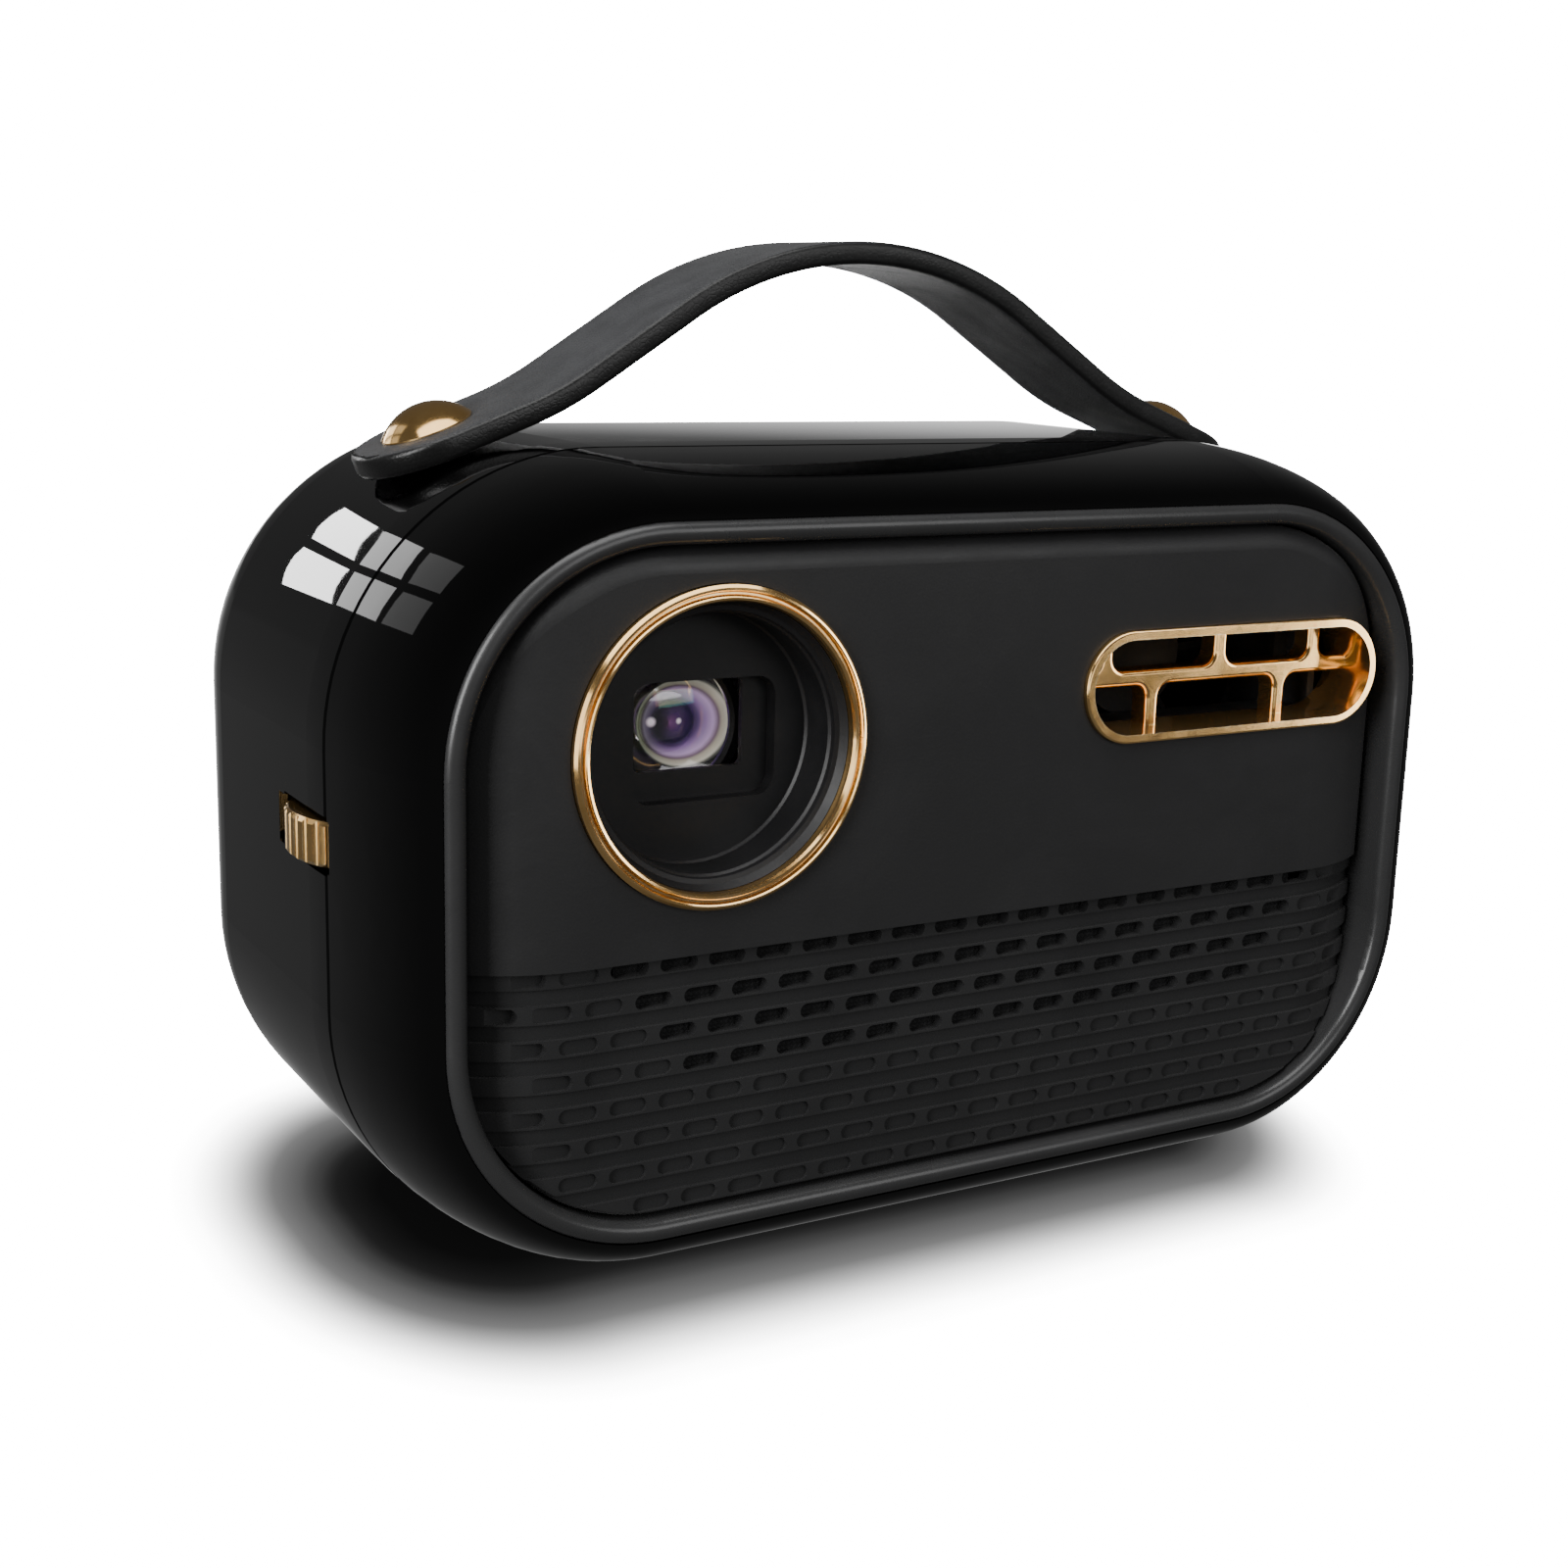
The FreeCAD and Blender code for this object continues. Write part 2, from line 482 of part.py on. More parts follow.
def make_lens_group():
    plate = soft_box(carriage_left, -21.5, 54.0, 86.0, -9.0, -3.0, 3.0)
    plate = plate.cut(rod(barrel_r + 0.02, at(lens_x, -10, lens_z), Y, 10))
    for x, z in rod_places:
        plate = plate.cut(rod(1.55, at(x, -10, z), Y, 10))
    leg = box(carriage_left, carriage_left + 4.0, -9.0, -3.0, deck_z + 4.9, 56.0)
    save("lens_carriage", plate.fuse(leg).removeSplitter())
    front_y = -28.1
    dome_sag = dome_r - math.sqrt(dome_r ** 2 - lens_r ** 2)
    rim_y = front_y + dome_sag
    shell = [(barrel_r, rim_y - 0.4), (barrel_r, 2.0), (6.5, 2.0), (6.5, -3.0), (5.2, -3.0), (5.2, -14.0),
             (lens_r - 1.2, rim_y + 3.1), (lens_r + 0.02, rim_y + 3.1), (lens_r + 0.02, rim_y - 0.1),
             (lens_r + 0.5, rim_y - 0.4)]
    save("lens_barrel", turned(shell, lens_x, lens_z))
    flat_y = rim_y + 3.0
    edges = [bowl(lens_r, front_y, dome_sag), line((lens_r, rim_y), (lens_r, flat_y)),
             line((lens_r, flat_y), (5.6, flat_y)), bowl(5.6, rim_y + 0.6, flat_y - rim_y - 0.6),
             line((0, rim_y + 0.6), (0, front_y))]
    front = outline(edges).revolve(origin, Y, 360)
    front.translate(at(lens_x, 0, lens_z))
    save("front_lens", front)
    edges = [bowl(5.15, -16.4, 1.6), line((5.15, -14.8), (5.15, -12.2)), bowl(5.15, -10.4, -1.8),
             line((0, -10.4), (0, -16.4))]
    middle = outline(edges).revolve(origin, Y, 360)
    middle.translate(at(lens_x, 0, lens_z))
    save("middle_lens", middle)
    rear = turned([(0, -2.8), (6.45, -2.8), (6.45, 0.4), (4.5, 1.2), (0, 1.7)], lens_x, lens_z)
    save("rear_lens", rear)


def make_guides():
    rods, clamps = [], []
    for x, z in rod_places:
        rods.append(rod(1.5, at(x, -15.0, z), Y, 18.5))
        clamps.append(soft_box(x - 3.5, x + 3.5, z - 3.5, z + 3.5, -18.0, -15.0, 1.0))
        clamps.append(soft_box(x - 3.5, x + 3.5, z - 3.5, z + 3.5, 3.5, 5.9, 1.0))
    save_group("guide_rods", rods)
    save_group("rod_clamps", clamps)


# --- strap handle ---

def strap_side(offset, lean):
    """One side of the strap's right half, from the top of the arch to the tip, in X and Z."""
    height = mid_z + core_z + math.sqrt(body_r ** 2 - (rivet_x - core_x) ** 2)
    start = height + (strap_thick / 2 + 0.35) / math.cos(lean)
    flat = strap_flat * math.tan(lean)
    bend = sweep_r * (math.cos(lean) - math.cos(arch_angle))
    straight = rivet_x - strap_flat - arch_r * math.sin(arch_angle)
    straight -= sweep_r * (math.sin(arch_angle) - math.sin(lean))
    apex = start + flat + bend + straight * math.tan(arch_angle) + arch_r * (1 - math.cos(arch_angle))
    place, heading, edges = complex(0, apex), 0.0, []

    def point(value):
        return at(value.real, strap_y - strap_width / 2, value.imag)

    def arc(radius, turn, side):
        nonlocal place, heading
        centre = place + side * 1j * radius * cmath.exp(1j * heading)
        reach = -side * 1j * (radius - side * offset)
        marks = [centre + reach * cmath.exp(1j * (heading + side * turn * part)) for part in (0, 0.5, 1)]
        edges.append(Part.Arc(*[point(m) for m in marks]).toShape())
        heading += side * turn
        place = centre - side * 1j * radius * cmath.exp(1j * heading)

    def run(length):
        nonlocal place
        shift = 1j * offset * cmath.exp(1j * heading)
        end = place + length * cmath.exp(1j * heading)
        edges.append(Part.LineSegment(point(place + shift), point(end + shift)).toShape())
        place = end
    arc(arch_r, arch_angle, -1)
    run(straight / math.cos(arch_angle))
    arc(sweep_r, arch_angle - lean, 1)
    run((strap_flat + strap_tip) / math.cos(lean))
    return edges


def make_strap():
    lean = math.asin((rivet_x - core_x) / body_r)
    top, low = strap_side(strap_thick / 2, lean), strap_side(-strap_thick / 2, lean)
    ends = [Part.LineSegment(top[0].Vertexes[0].Point, low[0].Vertexes[0].Point).toShape(),
            Part.LineSegment(top[-1].Vertexes[1].Point, low[-1].Vertexes[1].Point).toShape()]
    half = Part.Face(Part.Wire(Part.__sortEdges__(top + low + ends))).extrude(at(0, strap_width, 0))
    strap = half.fuse(half.mirror(origin, X)).removeSplitter()
    reach = rivet_x + strap_tip * 0.98
    plan = stadium(reach, strap_width / 2, 0, 0, -140, 10)
    plan.rotate(origin, X, 90)
    plan.rotate(origin, X, 180)
    plan.translate(at(0, strap_y, 0))
    strap = strap.common(plan)
    holes = [rivet_frame(side, rod(2.1, at(0, 0, -3), Z, 12)) for side in (-1, 1)]
    strap = strap.cut(Part.makeCompound(holes))
    save("handle_strap", strap)
    caps, posts, washers = [], [], []
    seat = strap_thick + 0.35
    for side in (-1, 1):
        ball_r = 7.6
        dome = Part.makeSphere(ball_r, at(0, 0, seat + 0.8 + 2.4 - ball_r))
        dome = dome.common(rod(6.0, at(0, 0, seat + 0.05), Z, 6)).cut(box(-8, 8, -8, 8, -20, seat + 0.05))
        dome = dome.cut(rod(1.6, at(0, 0, 0), Z, seat + 1.6))
        caps.append(rivet_frame(side, dome))
        post = rod(1.55, at(0, 0, -5.4), Z, seat + 5.4 + 1.4)
        posts.append(rivet_frame(side, post))
        washers.append(rivet_frame(side, tube(4.6, 1.65, at(0, 0, -wall - 1.9), Z, 1.2)))
        turns = [math.pi / 3 * k for k in range(6)]
        nut = Part.Face(polygon([(3.4 * math.cos(t), 3.4 * math.sin(t), 0) for t in turns]))
        nut = nut.extrude(at(0, 0, 1.3)).cut(rod(1.6, origin, Z, 3))
        nut.translate(at(0, 0, -wall - 3.2))
        washers.append(rivet_frame(side, nut))
    save_group("rivet_caps", caps)
    save_group("rivet_posts", posts)
    save_group("rivet_nuts", washers)


# --- back of the case ---

def make_keys():
    names = ("power_button", "volume_down_key", "volume_up_key", "menu_key")
    inside = back_y - wall - 0.8
    for name, (x, half, radius) in zip(names, key_places()):
        cap = stadium(half, radius, x, key_z, inside, back_y + 0.5 if name == names[0] else back_y + 0.35)
        cap = cap.makeFillet(0.3, [e for e in cap.Edges if e.BoundBox.YMin > back_y + 0.3])
        flange = stadium(half + 0.9, radius + 0.9, x, key_z, inside - 0.9, inside)
        stem = rod(1.2, at(x, inside - 2.0, key_z), Y, 1.2)
        shape = cap.fuse([flange, stem]).removeSplitter()
        if name == names[0]:
            shape = shape.cut(tube(2.3, 1.7, at(x, back_y + 0.3, key_z), Y, 1))
        else:
            shape = shape.cut(box(x - 1.3, x + 1.3, back_y + 0.15, back_y + 1, key_z - 0.25, key_z + 0.25))
        save(name, shape)
    tip = inside - 2.0
    switch_front = tip - key_travel - 0.15
    switches = []
    for x, half, radius in key_places():
        body = box(x - 3, x + 3, switch_front - 2.6, switch_front - 0.7, key_z - 3, key_z + 3)
        switches.append(body.fuse(rod(1.6, at(x, switch_front - 0.7, key_z), Y, 0.7)))
    save_group("key_switches", switches)
    board = soft_box(-37, 38, key_z - 6, key_z + 6, switch_front - 4.2, switch_front - 2.6, 1.5)
    save("key_board", board.cut(Part.makeCompound([rod(1.1, at(x, 20, key_z), Y, 20) for x in (-35, 36)])))


def port_holes(y0, y1, play):
    """Holes of the rear sockets: video, data, data, power and sound, with some play round each."""
    high = port_z
    return [soft_box(-33.5 - play, -18.5 + play, high - 3 - play, high + 3 + play, y0, y1, 1.2),
            soft_box(-10 - play, 4 + play, high - 3.3 - play, high + 3.3 + play, y0, y1, 0.6),
            soft_box(8.5 - play, 17.5 + play, high - 1.7 - play, high + 1.7 + play, y0, y1, 1.3),
            rod(4.2 + play, at(37, y0, high), Y, y1 - y0),
            rod(3.4 + play, at(26.0, y0, high), Y, y1 - y0)]


def make_ports():
    y0, y1 = back_y - 1.4, back_y - 0.2
    plate = soft_box(-48.9, 48.9, port_z - 10.9, port_z + 10.9, y0, y1, 2.9)
    back = soft_box(-51, 51, port_z - 13, port_z + 13, back_y - wall - 1.3, back_y - wall - 0.05, 3)
    link = soft_box(-48.9, 48.9, port_z - 10.9, port_z + 10.9, back_y - wall - 1.3, y1, 2.9)
    plate = plate.fuse([back, link]).removeSplitter()
    plate = plate.cut(Part.makeCompound(port_holes(back_y - 8, back_y + 1, 0.15)))
    plate = plate.cut(rod(2.6, at(-42, back_y - 8, port_z), Y, 10))
    save("port_plate", plate)
    rear, front = back_y - 0.6, board_y + 1.65
    video, data, small, power, sound = port_holes(front, rear, 0)
    save("video_socket", video.cut(soft_box(-32.9, -19.1, port_z - 2.4, port_z + 2.4, rear - 8, rear + 1, 0.9))
         .fuse(box(-31.5, -20.5, front, rear - 1.5, port_z - 0.5, port_z + 0.6)))
    save("data_socket", data.cut(box(-9.4, 3.4, rear - 8, rear + 1, port_z - 2.7, port_z + 2.7))
         .fuse(box(-8.5, 2.5, front, rear - 1.2, port_z + 0.4, port_z + 1.7)))
    save("small_data_socket", small.cut(soft_box(8.9, 17.1, port_z - 1.3, port_z + 1.3, rear - 6, rear + 1, 1.2))
         .fuse(box(10, 16, front, rear - 1.0, port_z - 0.35, port_z + 0.35)))
    power = power.cut(rod(3.0, at(37, rear - 8.5, port_z), Y, 9))
    save("power_socket", power.fuse(rod(1.0, at(37, front, port_z), Y, 9)))
    save("sound_socket", sound.cut(rod(1.8, at(26.0, rear - 9, port_z), Y, 10)))
    save("infrared_window", rod(2.5, at(-42, back_y - 4, port_z), Y, 3.7))


def make_boards():
    board = soft_box(-54, 54, 16, 44, board_y, board_y + 1.6, 2.0)
    holes = [rod(1.2, at(x, 20, z), Y, 20) for x in (-50, 50) for z in (19.5, 40.5)]
    save("main_board", board.cut(Part.makeCompound(holes)))
    chips = []
    chip_places = ((-30, 24, 13, 1.4), (-12, 28, 9, 1.0), (4, 22, 7, 1.0), (22, 30, 10, 1.2), (38, 24, 6, 1.6))
    for x, z, size, tall in chip_places:
        chips.append(box(x - size / 2, x + size / 2, board_y - tall, board_y, z - size / 2, z + size / 2))
    for i in range(4):
        chips.append(rod(2.5, at(-44 + 6 * i if i < 2 else 30 + 7 * i - 10, board_y - 5, 38), Y, 5))
    save_group("board_chips", chips)


def make_fasteners():
    posts, screws = [], []
    for x, z in post_places():
        posts.append(tube(3.5, 1.25, at(x, -28.5, z), Y, back_y - wall + 28.45))
        head = rod(2.8, at(x, back_y - 1.0, z), Y, 0.9)
        cross = Part.makeCompound([box(x - 1.6, x + 1.6, back_y - 0.6, back_y + 1, z - 0.35, z + 0.35),
                                   box(x - 0.35, x + 0.35, back_y - 0.6, back_y + 1, z - 1.6, z + 1.6)])
        screws.append(head.fuse(rod(1.2, at(x, back_y - 13, z), Y, 12.1)).cut(cross))
    save_group("case_posts", posts)
    save_group("case_screws", screws)


# --- inside ---

def pillar_places():
    return [(x, y) for x in (-41, 41) for y in (-12, 20)]


def make_chassis():
    floor_z = foot_height + wall + 0.3
    tray = soft_box_z(-45, 45, -15.8, 24.5, floor_z, floor_z + 1.5, 4)
    tray = tray.cut(rod(9.2, at(0, strap_y, 0), Z, 9))
    save("chassis_tray", tray)
    deck = soft_box_z(-72, 60, -26, 25, deck_z - 2, deck_z, 4)
    deck = deck.cut(box(-24, 30, -27, -12.5, deck_z - 3, deck_z + 1))
    deck = deck.cut(rod(1.55, at(wheel_x, wheel_y, deck_z - 3), Z, 4))
    deck = deck.cut(Part.makeCompound([rod(0.95, at(x, y, deck_z - 3), Z, 5) for x, y in pillar_places()]))
    save("mid_deck", deck)
    places = pillar_places()
    tall = deck_z - 2 - floor_z - 1.5
    save_group("deck_pillars", [tube(2.6, 1.0, at(x, y, floor_z + 1.5), Z, tall) for x, y in places])
    screws = [rod(2.0, at(x, y, deck_z), Z, 1.2).fuse(rod(0.9, at(x, y, deck_z - 8), Z, 8))
              for x, y in places]
    save_group("deck_screws", screws)
    return floor_z + 1.5


def make_base(tray_top):
    feet = []
    for x in (-44, 44):
        for y in (-16, 26):
            feet.append(Part.makeCone(5.0, 5.6, foot_height - 0.02, at(x, y, 0), Z))
    save_group("rubber_feet", feet)
    low, high = foot_height + 0.1, foot_height + 8.7
    insert = tube(8.0, 3.175, at(0, strap_y, low), Z, high - low)
    flange = tube(10.5, 3.175, at(0, strap_y, foot_height + wall + 0.05), Z, 0.2)
    save("tripod_insert", insert.fuse(flange).removeSplitter())
    holder = soft_box_z(-36, 36, -12, 26.5, tray_top + 5.0, tray_top + 19.2, 3)
    cells = []
    for y in (-2.6, 17.0):
        holder = holder.cut(rod(9.35, at(-33.2, y, tray_top + 14.0), X, 66.4))
        button = rod(3.0, at(31.6, y, tray_top + 14.0), X, 1.2)
        cells.append(rod(9.2, at(-33, y, tray_top + 14.0), X, 64.6).fuse(button))
    holder = holder.cut(box(-33.2, 33.2, -11, 25.5, tray_top + 14.0, tray_top + 30))
    save("battery_holder", holder)
    save_group("battery_cells", cells)


def make_speaker():
    x, z, y = grille_mid_x, 31.0, -30.5
    basket = [(18.5, y), (18.5, y + 1.2), (17.2, y + 1.2), (11.5, y + 9.0), (11.5, y + 11.0), (9.2, y + 11.0),
              (9.2, y + 9.6), (10.3, y + 8.4), (16.0, y + 0.9), (17.0, y)]
    save("speaker_basket", turned(basket, x, z))
    magnet = [(0, y + 11.1), (11.5, y + 11.1), (11.5, y + 16.5), (0, y + 16.5)]
    save("speaker_magnet", turned(magnet, x, z))
    cone = [(0, y + 3.4), (2.0, y + 3.6), (4.0, y + 5.0), (5.2, y + 6.8), (12.6, y + 1.9), (14.2, y + 0.5),
            (15.4, y - 0.2), (16.3, y + 0.1), (16.3, y + 0.4), (15.4, y + 0.3), (14.4, y + 1.1), (12.8, y + 2.5),
            (5.4, y + 7.6), (4.6, y + 7.4), (3.4, y + 5.6), (0, y + 4.1)]
    save("speaker_cone", turned(cone, x, z))


def make_fan():
    half = fan_size / 2
    y0, y1 = fan_front_y + 0.05, fan_front_y + fan_depth
    frame = soft_box(fan_x - half, fan_x + half, fan_z - half, fan_z + half, y0, y1, 2.5)
    frame = frame.cut(rod(half - 1.2, at(fan_x, y0 - 1, fan_z), Y, fan_depth + 2))
    holes = [rod(1.6, at(fan_x + sx * 16, y0 - 1, fan_z + sz * 16), Y, fan_depth + 2)
             for sx in (-1, 1) for sz in (-1, 1)]
    frame = frame.cut(Part.makeCompound(holes))
    struts = []
    for k in range(4):
        arm = box(-1.0, 1.0, y1 - 1.4, y1, 8.0, half - 0.6)
        arm.rotate(origin, Y, 45 + 90 * k)
        arm.translate(at(fan_x, 0, fan_z))
        struts.append(arm)
    hub = rod(8.8, at(fan_x, y1 - 1.4, fan_z), Y, 1.4).fuse(rod(1.0, at(fan_x, y0 + 2.6, fan_z), Y, fan_depth - 2.7))
    save("fan_frame", frame.fuse(struts + [hub]).removeSplitter())
    rotor = rod(8.8, at(fan_x, y0 + 0.8, fan_z), Y, fan_depth - 3.2)
    rotor = rotor.cut(rod(1.05, at(fan_x, y0 + 2.5, fan_z), Y, fan_depth))
    blades = []
    for k in range(7):
        wire_in = Part.Wire(Part.makePolygon([at(-2.6, y0 + 1.4, 7.6), at(-1.6, y0 + 1.0, 7.6), at(2.8, y0 + 8.4, 7.6),
                                              at(1.8, y0 + 8.8, 7.6), at(-2.6, y0 + 1.4, 7.6)]))
        wire_out = Part.Wire(Part.makePolygon([at(-5.4, y0 + 2.6, 17.4), at(-4.4, y0 + 2.0, 17.4), at(4.6, y0 + 7.4, 17.4),
                                               at(3.6, y0 + 8.0, 17.4), at(-5.4, y0 + 2.6, 17.4)]))
        blade = Part.makeLoft([wire_in, wire_out], True, True)
        blade.rotate(origin, Y, 360 / 7 * k)
        blade.translate(at(fan_x, 0, fan_z))
        blades.append(blade)
    save("fan_impeller", rotor.fuse(blades).removeSplitter())


def make_light_engine():
    x0, x1, y0, y1, z0, z1 = -54, -16, 6.0, 30.0, deck_z + 0.05, 88
    housing = box(x0, x1, y0, y1, z0, z1).cut(box(x0 + 2, x1 - 2, y0 + 2, y1 - 2, z0 + 2, z1 + 1))
    housing = housing.cut(rod(6.0, at(lens_x, y0 - 1, lens_z), Y, 5))
    housing = housing.cut(box(x1 - 3, x1 + 1, 14, 26, 62, 78))
    housing = housing.cut(box(x0 - 1, x0 + 3, 14, 26, 62, 78))
    housing = housing.cut(Part.makeCompound([rod(2.4, at(x, y, deck_z), Z, 1.5) for x, y in pillar_places()]))
    save("engine_housing", housing)
    lid = box(x0, x1, y0, y1, z1 + 0.05, z1 + 1.8)
    save("engine_lid", lid)
    leds, lamps = [], []
    for side, face in ((-1, x0), (1, x1)):
        start = face + side * 0.05
        low, high = min(start, start + side * 1.6), max(start, start + side * 1.6)
        leds.append(box(low, high, 12, 28, 60, 80))
        lamps.append(rod(4.5, at(face - side * 3.2 if side > 0 else face + 0.4, 20, 70), X, 2.8))
    leds.append(box(-44, -26, y1 + 0.05, y1 + 1.6, 61, 77))
    save_group("led_boards", leds)
    lamps.append(rod(6.5, at(lens_x, 9.0, lens_z), Y, 3.0))
    save_group("condenser_lenses", lamps)
    mirrors = []
    for turn in (45, -45):
        plate = box(-7, 7, -0.5, 0.5, -7, 7)
        plate.rotate(origin, Z, turn)
        plate.translate(at(-35 + (6.0 if turn > 0 else -6.0), 22, 70))
        mirrors.append(plate)
    save("dichroic_plates", mirrors[0].fuse(mirrors[1]).removeSplitter())
    sink = box(-13.5, 16, 6, 30, 56, 60)
    fins = [box(-13.5 + 3.2 * i, -12.3 + 3.2 * i, 6, 30, 60, 86) for i in range(9)]
    save("heat_sink", sink.fuse(fins).removeSplitter())


make_front_shell()
make_rear_shell()
make_bezel_ring()
make_front_panel()
make_speaker_mesh()
make_lens_ring()
make_lens_tunnel()
make_vent_grille()
make_vent_duct()
make_focus_wheel()
make_focus_rack()
make_lens_group()
make_guides()
make_strap()
make_keys()
make_ports()
make_boards()
make_fasteners()
make_base(make_chassis())
make_speaker()
make_fan()
make_light_engine()
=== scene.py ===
import json
import math

import bmesh
import bpy
from mathutils import Matrix, Vector


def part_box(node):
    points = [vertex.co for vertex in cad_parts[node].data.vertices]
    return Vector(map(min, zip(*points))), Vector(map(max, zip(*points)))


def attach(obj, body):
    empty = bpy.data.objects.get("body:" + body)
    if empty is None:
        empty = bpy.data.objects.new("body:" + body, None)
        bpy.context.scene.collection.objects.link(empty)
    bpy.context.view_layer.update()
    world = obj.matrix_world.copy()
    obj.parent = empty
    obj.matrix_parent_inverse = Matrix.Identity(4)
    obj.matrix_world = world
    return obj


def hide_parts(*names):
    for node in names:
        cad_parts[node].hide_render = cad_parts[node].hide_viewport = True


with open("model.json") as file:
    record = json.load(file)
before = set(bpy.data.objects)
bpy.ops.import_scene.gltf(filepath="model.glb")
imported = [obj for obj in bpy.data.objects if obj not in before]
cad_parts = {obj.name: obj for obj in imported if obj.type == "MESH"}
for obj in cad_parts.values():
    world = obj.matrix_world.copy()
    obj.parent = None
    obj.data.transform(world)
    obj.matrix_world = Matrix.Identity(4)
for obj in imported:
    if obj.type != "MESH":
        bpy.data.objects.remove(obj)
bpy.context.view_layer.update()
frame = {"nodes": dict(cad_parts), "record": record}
nodes = frame["nodes"]
print("frame loaded:", len(nodes), "nodes")


def link(name, data):
    made = bpy.data.objects.new(name, data)
    bpy.context.scene.collection.objects.link(made)
    return made


def meshFrom(name, bm):
    mesh = bpy.data.meshes.new(name)
    bm.to_mesh(mesh)
    bm.free()
    return mesh


# small helpers for building node trees
def addNode(tree, kind, inputs=None, **settings):
    made = tree.nodes.new("ShaderNode" + kind)
    for name, value in settings.items():
        setattr(made, name, value)
    for name, value in (inputs or {}).items():
        if isinstance(value, bpy.types.NodeSocket):
            tree.links.new(value, made.inputs[name])
        else:
            made.inputs[name].default_value = value
    return made


def arith(tree, operation, first, second=0.0, clamp=False):
    return addNode(tree, "Math", {0: first, 1: second}, operation=operation, use_clamp=clamp).outputs[0]


def vector(tree, operation, first, second=(0.0, 0.0, 0.0)):
    made = addNode(tree, "VectorMath", {0: first, 1: second}, operation=operation).outputs
    return made["Value"] if operation in ("LENGTH", "DISTANCE", "DOT_PRODUCT") else made[0]


def spread(tree, value, low, high, toLow=0.0, toHigh=1.0, kind="LINEAR"):
    ranged = addNode(tree, "MapRange", {0: value, 1: low, 2: high, 3: toLow, 4: toHigh}, interpolation_type=kind)
    return ranged.outputs[0]


def mixColour(tree, mask, first, second, **settings):
    mixed = addNode(tree, "Mix", {0: mask, 6: first, 7: second}, data_type="RGBA", **settings)
    return mixed.outputs[2]


def mixShader(tree, mask, first, second):
    return addNode(tree, "MixShader", {0: mask, 1: first.outputs[0], 2: second.outputs[0]}).outputs[0]


def rampOf(tree, value, steps):
    ramp = addNode(tree, "ValToRGB", {0: value})
    while len(ramp.color_ramp.elements) < len(steps):
        ramp.color_ramp.elements.new(0.5)
    for element, (position, colour) in zip(ramp.color_ramp.elements, steps):
        element.position = position
        element.color = colour
    return ramp.outputs[0]


def objectPlace(tree):
    return addNode(tree, "TexCoord").outputs["Object"]


def startGroup(name, inputs, outputs):
    tree = bpy.data.node_groups.new(name, "ShaderNodeTree")
    for label, value in inputs.items():
        kind = "NodeSocketVector" if isinstance(value, tuple) else "NodeSocketFloat"
        tree.interface.new_socket(name=label, in_out="INPUT", socket_type=kind).default_value = value
    for label in outputs:
        tree.interface.new_socket(name=label, in_out="OUTPUT", socket_type="NodeSocketFloat")
    return tree, tree.nodes.new("NodeGroupInput").outputs, tree.nodes.new("NodeGroupOutput")


def useGroup(tree, name, **inputs):
    made = addNode(tree, "Group", node_tree=bpy.data.node_groups[name])
    for label, value in inputs.items():
        made.inputs[label].default_value = value
    return made.outputs


# surface effects that several finishes share
def makeGrainGroup():
    tree, given, out = startGroup("mouldGrain", {"Stretch": (1.0, 1.0, 1.0), "Scale": 900.0, "Patch": 60.0},
                                  ("Height", "Tone"))
    place = objectPlace(tree)
    place = vector(tree, "MULTIPLY", place, given["Stretch"])
    fine = addNode(tree, "TexNoise", {"Vector": place, "Scale": given["Scale"], "Detail": 3.0, "Roughness": 0.6})
    pits = addNode(tree, "TexVoronoi", {"Vector": place, "Scale": given["Scale"]})
    height = arith(tree, "ADD", arith(tree, "MULTIPLY", fine.outputs[0], 0.6),
                   arith(tree, "MULTIPLY", pits.outputs["Distance"], 0.5))
    patch = addNode(tree, "TexNoise", {"Vector": place, "Scale": given["Patch"], "Detail": 4.0, "Roughness": 0.55})
    tone = arith(tree, "ADD", spread(tree, patch.outputs[0], 0.3, 0.7, 0.0, 0.75),
                 spread(tree, fine.outputs[0], 0.3, 0.7, 0.0, 0.25))
    tree.links.new(height, out.inputs["Height"])
    tree.links.new(tone, out.inputs["Tone"])


def makeHandlingGroup():
    tree, given, out = startGroup("handling", {"Smooth": 0.05, "Rough": 0.15, "Scale": 35.0, "Scratches": 0.3},
                                  ("Roughness", "Mask"))
    place = objectPlace(tree)
    smudge = addNode(tree, "TexNoise", {"Vector": place, "Scale": given["Scale"], "Detail": 5.0, "Roughness": 0.65,
                                        "Distortion": 0.8})
    mask = spread(tree, smudge.outputs[0], 0.42, 0.72)
    hair = vector(tree, "MULTIPLY", place, (60.0, 900.0, 1400.0))
    hair = addNode(tree, "TexNoise", {"Vector": hair, "Scale": 1.0, "Detail": 2.0, "Distortion": 1.5})
    lines = arith(tree, "MULTIPLY", spread(tree, hair.outputs[0], 0.64, 0.72), given["Scratches"])
    both = arith(tree, "ADD", mask, lines, clamp=True)
    tree.links.new(addNode(tree, "MapRange", {0: both, 3: given["Smooth"], 4: given["Rough"]}).outputs[0],
                   out.inputs["Roughness"])
    tree.links.new(both, out.inputs["Mask"])


